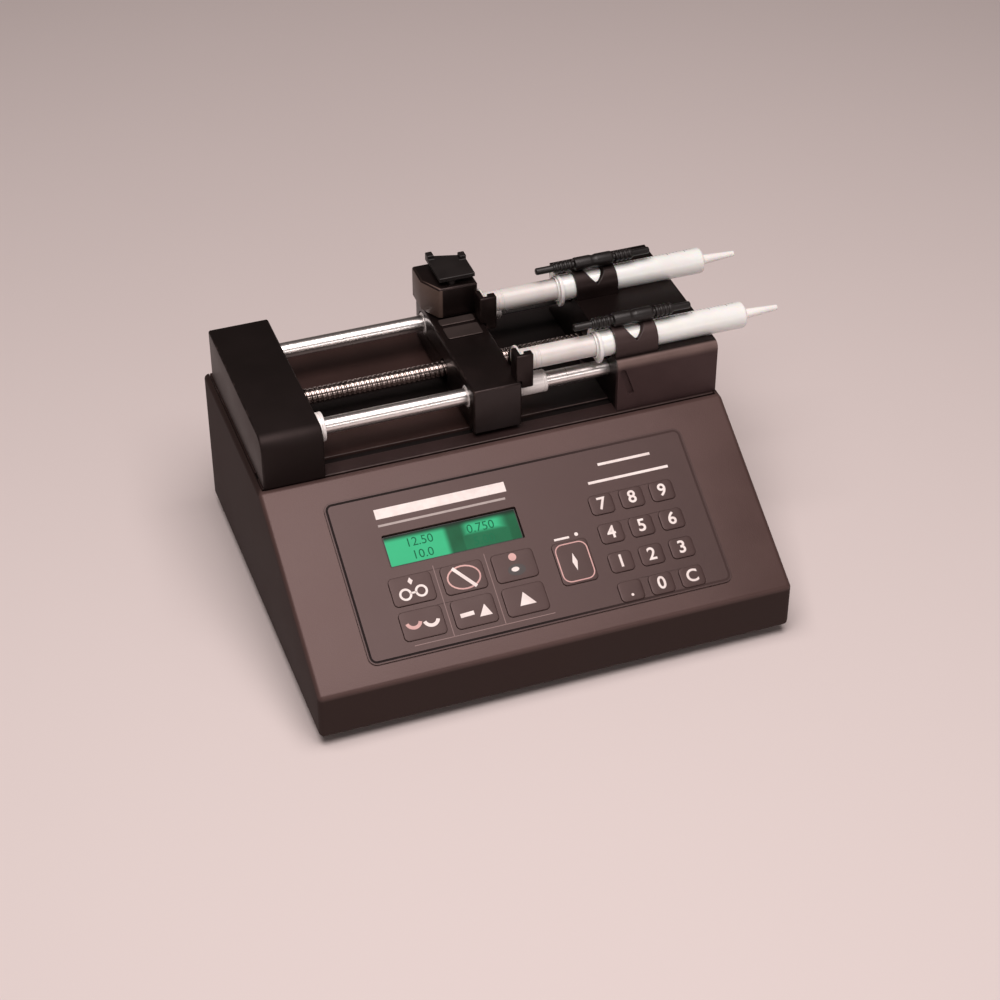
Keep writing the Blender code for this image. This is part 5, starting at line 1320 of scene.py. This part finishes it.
def crossHead(centre, facing, right):
    # pan head with a cross recess: height at (share, angle) is a dome less a cross-shaped pit
    rows = np.array([0, 0.1, 0.2, 0.3, 0.4, 0.5, 0.6, 0.7, 0.8, 0.9, 0.97, 1.0])[:, None]
    angle = np.linspace(0, 2 * math.pi, screwHead["sides"], endpoint=False)
    radius = rows * screwHead["radius"]
    a, b = radius * np.cos(angle), radius * np.sin(angle)
    arm = np.minimum(np.abs(a), np.abs(b))
    pit = np.clip(1.4 - arm / screwHead["slot"], 0, 1)
    pit = pit * np.clip((screwHead["reach"] - radius) / screwHead["runOut"], 0, 1)
    height = screwHead["rise"] * (1 - rows ** 4) - screwHead["recess"] * pit
    facing, right = np.array(facing, float), np.array(right, float)
    third = np.cross(facing, right)

    def place(p, q, h):
        return np.asarray(centre) + p[..., None] * right + q[..., None] * third + h[..., None] * facing

    cap = place(a, b, height)
    under = height[-1] - screwHead["skirt"]
    skirt = place(np.stack([a[-1], a[-1], 0 * a[-1]]), np.stack([b[-1], b[-1], 0 * b[-1]]),
                  np.stack([height[-1], under, under]))
    return [(cap, True, None), (skirt, True, None)]


def makeScrews():
    low, high = nodeBox("rear_panel")
    grids = []
    inset, proud = screwHead["panelInset"], screwHead["proud"]
    for x in (low[0] + inset, (low[0] + high[0]) / 2, high[0] - inset):
        for z in (low[2] + inset, high[2] - inset):
            grids += crossHead((x, high[1] + proud, z), (0, 1, 0), (1, 0, 0))
    inletLow, inletHigh = nodeBox("mains_inlet")
    inletMid = (inletLow + inletHigh) / 2
    apart = (inletHigh[0] - inletLow[0]) / 2 - screwHead["inletInset"]
    small = crossHead((0, 0, 0), (0, 1, 0), (1, 0, 0))
    for side in (-1, 1):
        at = np.array([inletMid[0] + side * apart, inletHigh[1], inletMid[2]])
        grids += [(grid * screwHead["inletShare"] + at, around, keep) for grid, around, keep in small]
    baseLow, baseHigh = nodeBox("base_plate")
    aside, inward = screwHead["baseInset"]
    for x in (baseLow[0] + aside, baseHigh[0] - aside):
        for y in (baseLow[1] + inward, baseHigh[1] - inward):
            grids += crossHead((x, y, baseLow[2] - proud), (0, 0, -1), (1, 0, 0))
    putPiece("crossHeadScrews", meshOf("crossHeadScrews", grids, sharp=50), turnedMetal, "base")


makeInlet()
makeScrews()
insideEdge = 0.25 * mm
insideFinish = {"timing_belt": rubberFinish, "step_motor": motorFinish, "power_transformer": motorFinish,
                "main_board": boardFinish, "screw_bearing": brassFinish, "half_nut": brassFinish,
                "screw_pulley": turnedMetal, "motor_pulley": turnedMetal}
for node, finish in insideFinish.items():
    dressNode(node, "inner_" + node, finish, insideEdge, None, 2)
print("rear and inside made")


# Stage: floor, light, camera

stageSet = {"floor": rgb(222, 212, 210), "floorSize": 6.0, "sky": rgb(226, 208, 203), "skyStrength": 0.09,
            "lamp": (1.0, 0.90, 0.88)}
paperLook = {"color": stageSet["floor"], "tint": stageSet["floor"], "cloud": 3.0, "grain": 400.0,
             "bump": 0.02, "gloss": (0.75, 0.65)}
lightSet = {"overheadPanel": {"at": (-0.16, -0.34, 1.5), "aim": (-0.1, -0.1, 0), "size": (1.25, 1.1),
                              "watts": 26},
            "frontStrip": {"at": (0.32, -1.55, 0.62), "aim": (0, 0, 0.12), "size": (1.2, 0.2), "watts": 3.6}}


def makeFloor():
    half = stageSet["floorSize"] / 2
    span = np.linspace(-half, half, 3)
    x, y = np.meshgrid(span, span)
    mesh = meshOf("studioFloor", [(np.stack([x, y, np.zeros_like(x)], -1), False, None)], outwards=False)
    floor = bpy.data.objects.new("studioFloor", mesh)
    bpy.context.scene.collection.objects.link(floor)
    mesh.materials.append(toneFinish("studioPaper", paperLook))


def areaLight(name, at, aim, size, watts):
    lamp = bpy.data.lights.new(name, "AREA")
    lamp.shape = "RECTANGLE"
    lamp.size, lamp.size_y = size
    lamp.energy = watts
    lamp.color = stageSet["lamp"]
    light = bpy.data.objects.new(name, lamp)
    light.location = at
    light.rotation_euler = (Vector(aim) - Vector(at)).to_track_quat("-Z", "Y").to_euler()
    bpy.context.scene.collection.objects.link(light)


cameraSet = {"turn": -19.693, "rise": 38.388, "far": 1.3812, "lens": 86.2, "sensor": 36, "nearest": 0.05,
             "aim": (-0.0212, -0.0141, 0.0599)}


def makeCamera():
    turn, rise = math.radians(cameraSet["turn"]), math.radians(cameraSet["rise"])
    back = Vector((math.sin(turn) * math.cos(rise), -math.cos(turn) * math.cos(rise), math.sin(rise)))
    data = bpy.data.cameras.new("photoCamera")
    data.lens = cameraSet["lens"]
    data.sensor_width = cameraSet["sensor"]
    data.clip_start = cameraSet["nearest"]
    camera = bpy.data.objects.new("photoCamera", data)
    camera.location = Vector(cameraSet["aim"]) + back * cameraSet["far"]
    camera.rotation_euler = back.to_track_quat("Z", "Y").to_euler()
    bpy.context.scene.collection.objects.link(camera)
    bpy.context.scene.camera = camera


makeFloor()
makeCamera()
for name, settings in lightSet.items():
    areaLight(name, **settings)
world = bpy.data.worlds.new("studioSky")
world.use_nodes = True
sky = world.node_tree.nodes["Background"]
sky.inputs["Color"].default_value = stageSet["sky"]
sky.inputs["Strength"].default_value = stageSet["skyStrength"]
bpy.context.scene.world = world
bpy.context.scene.view_settings.view_transform = "Standard"
print("stage made")
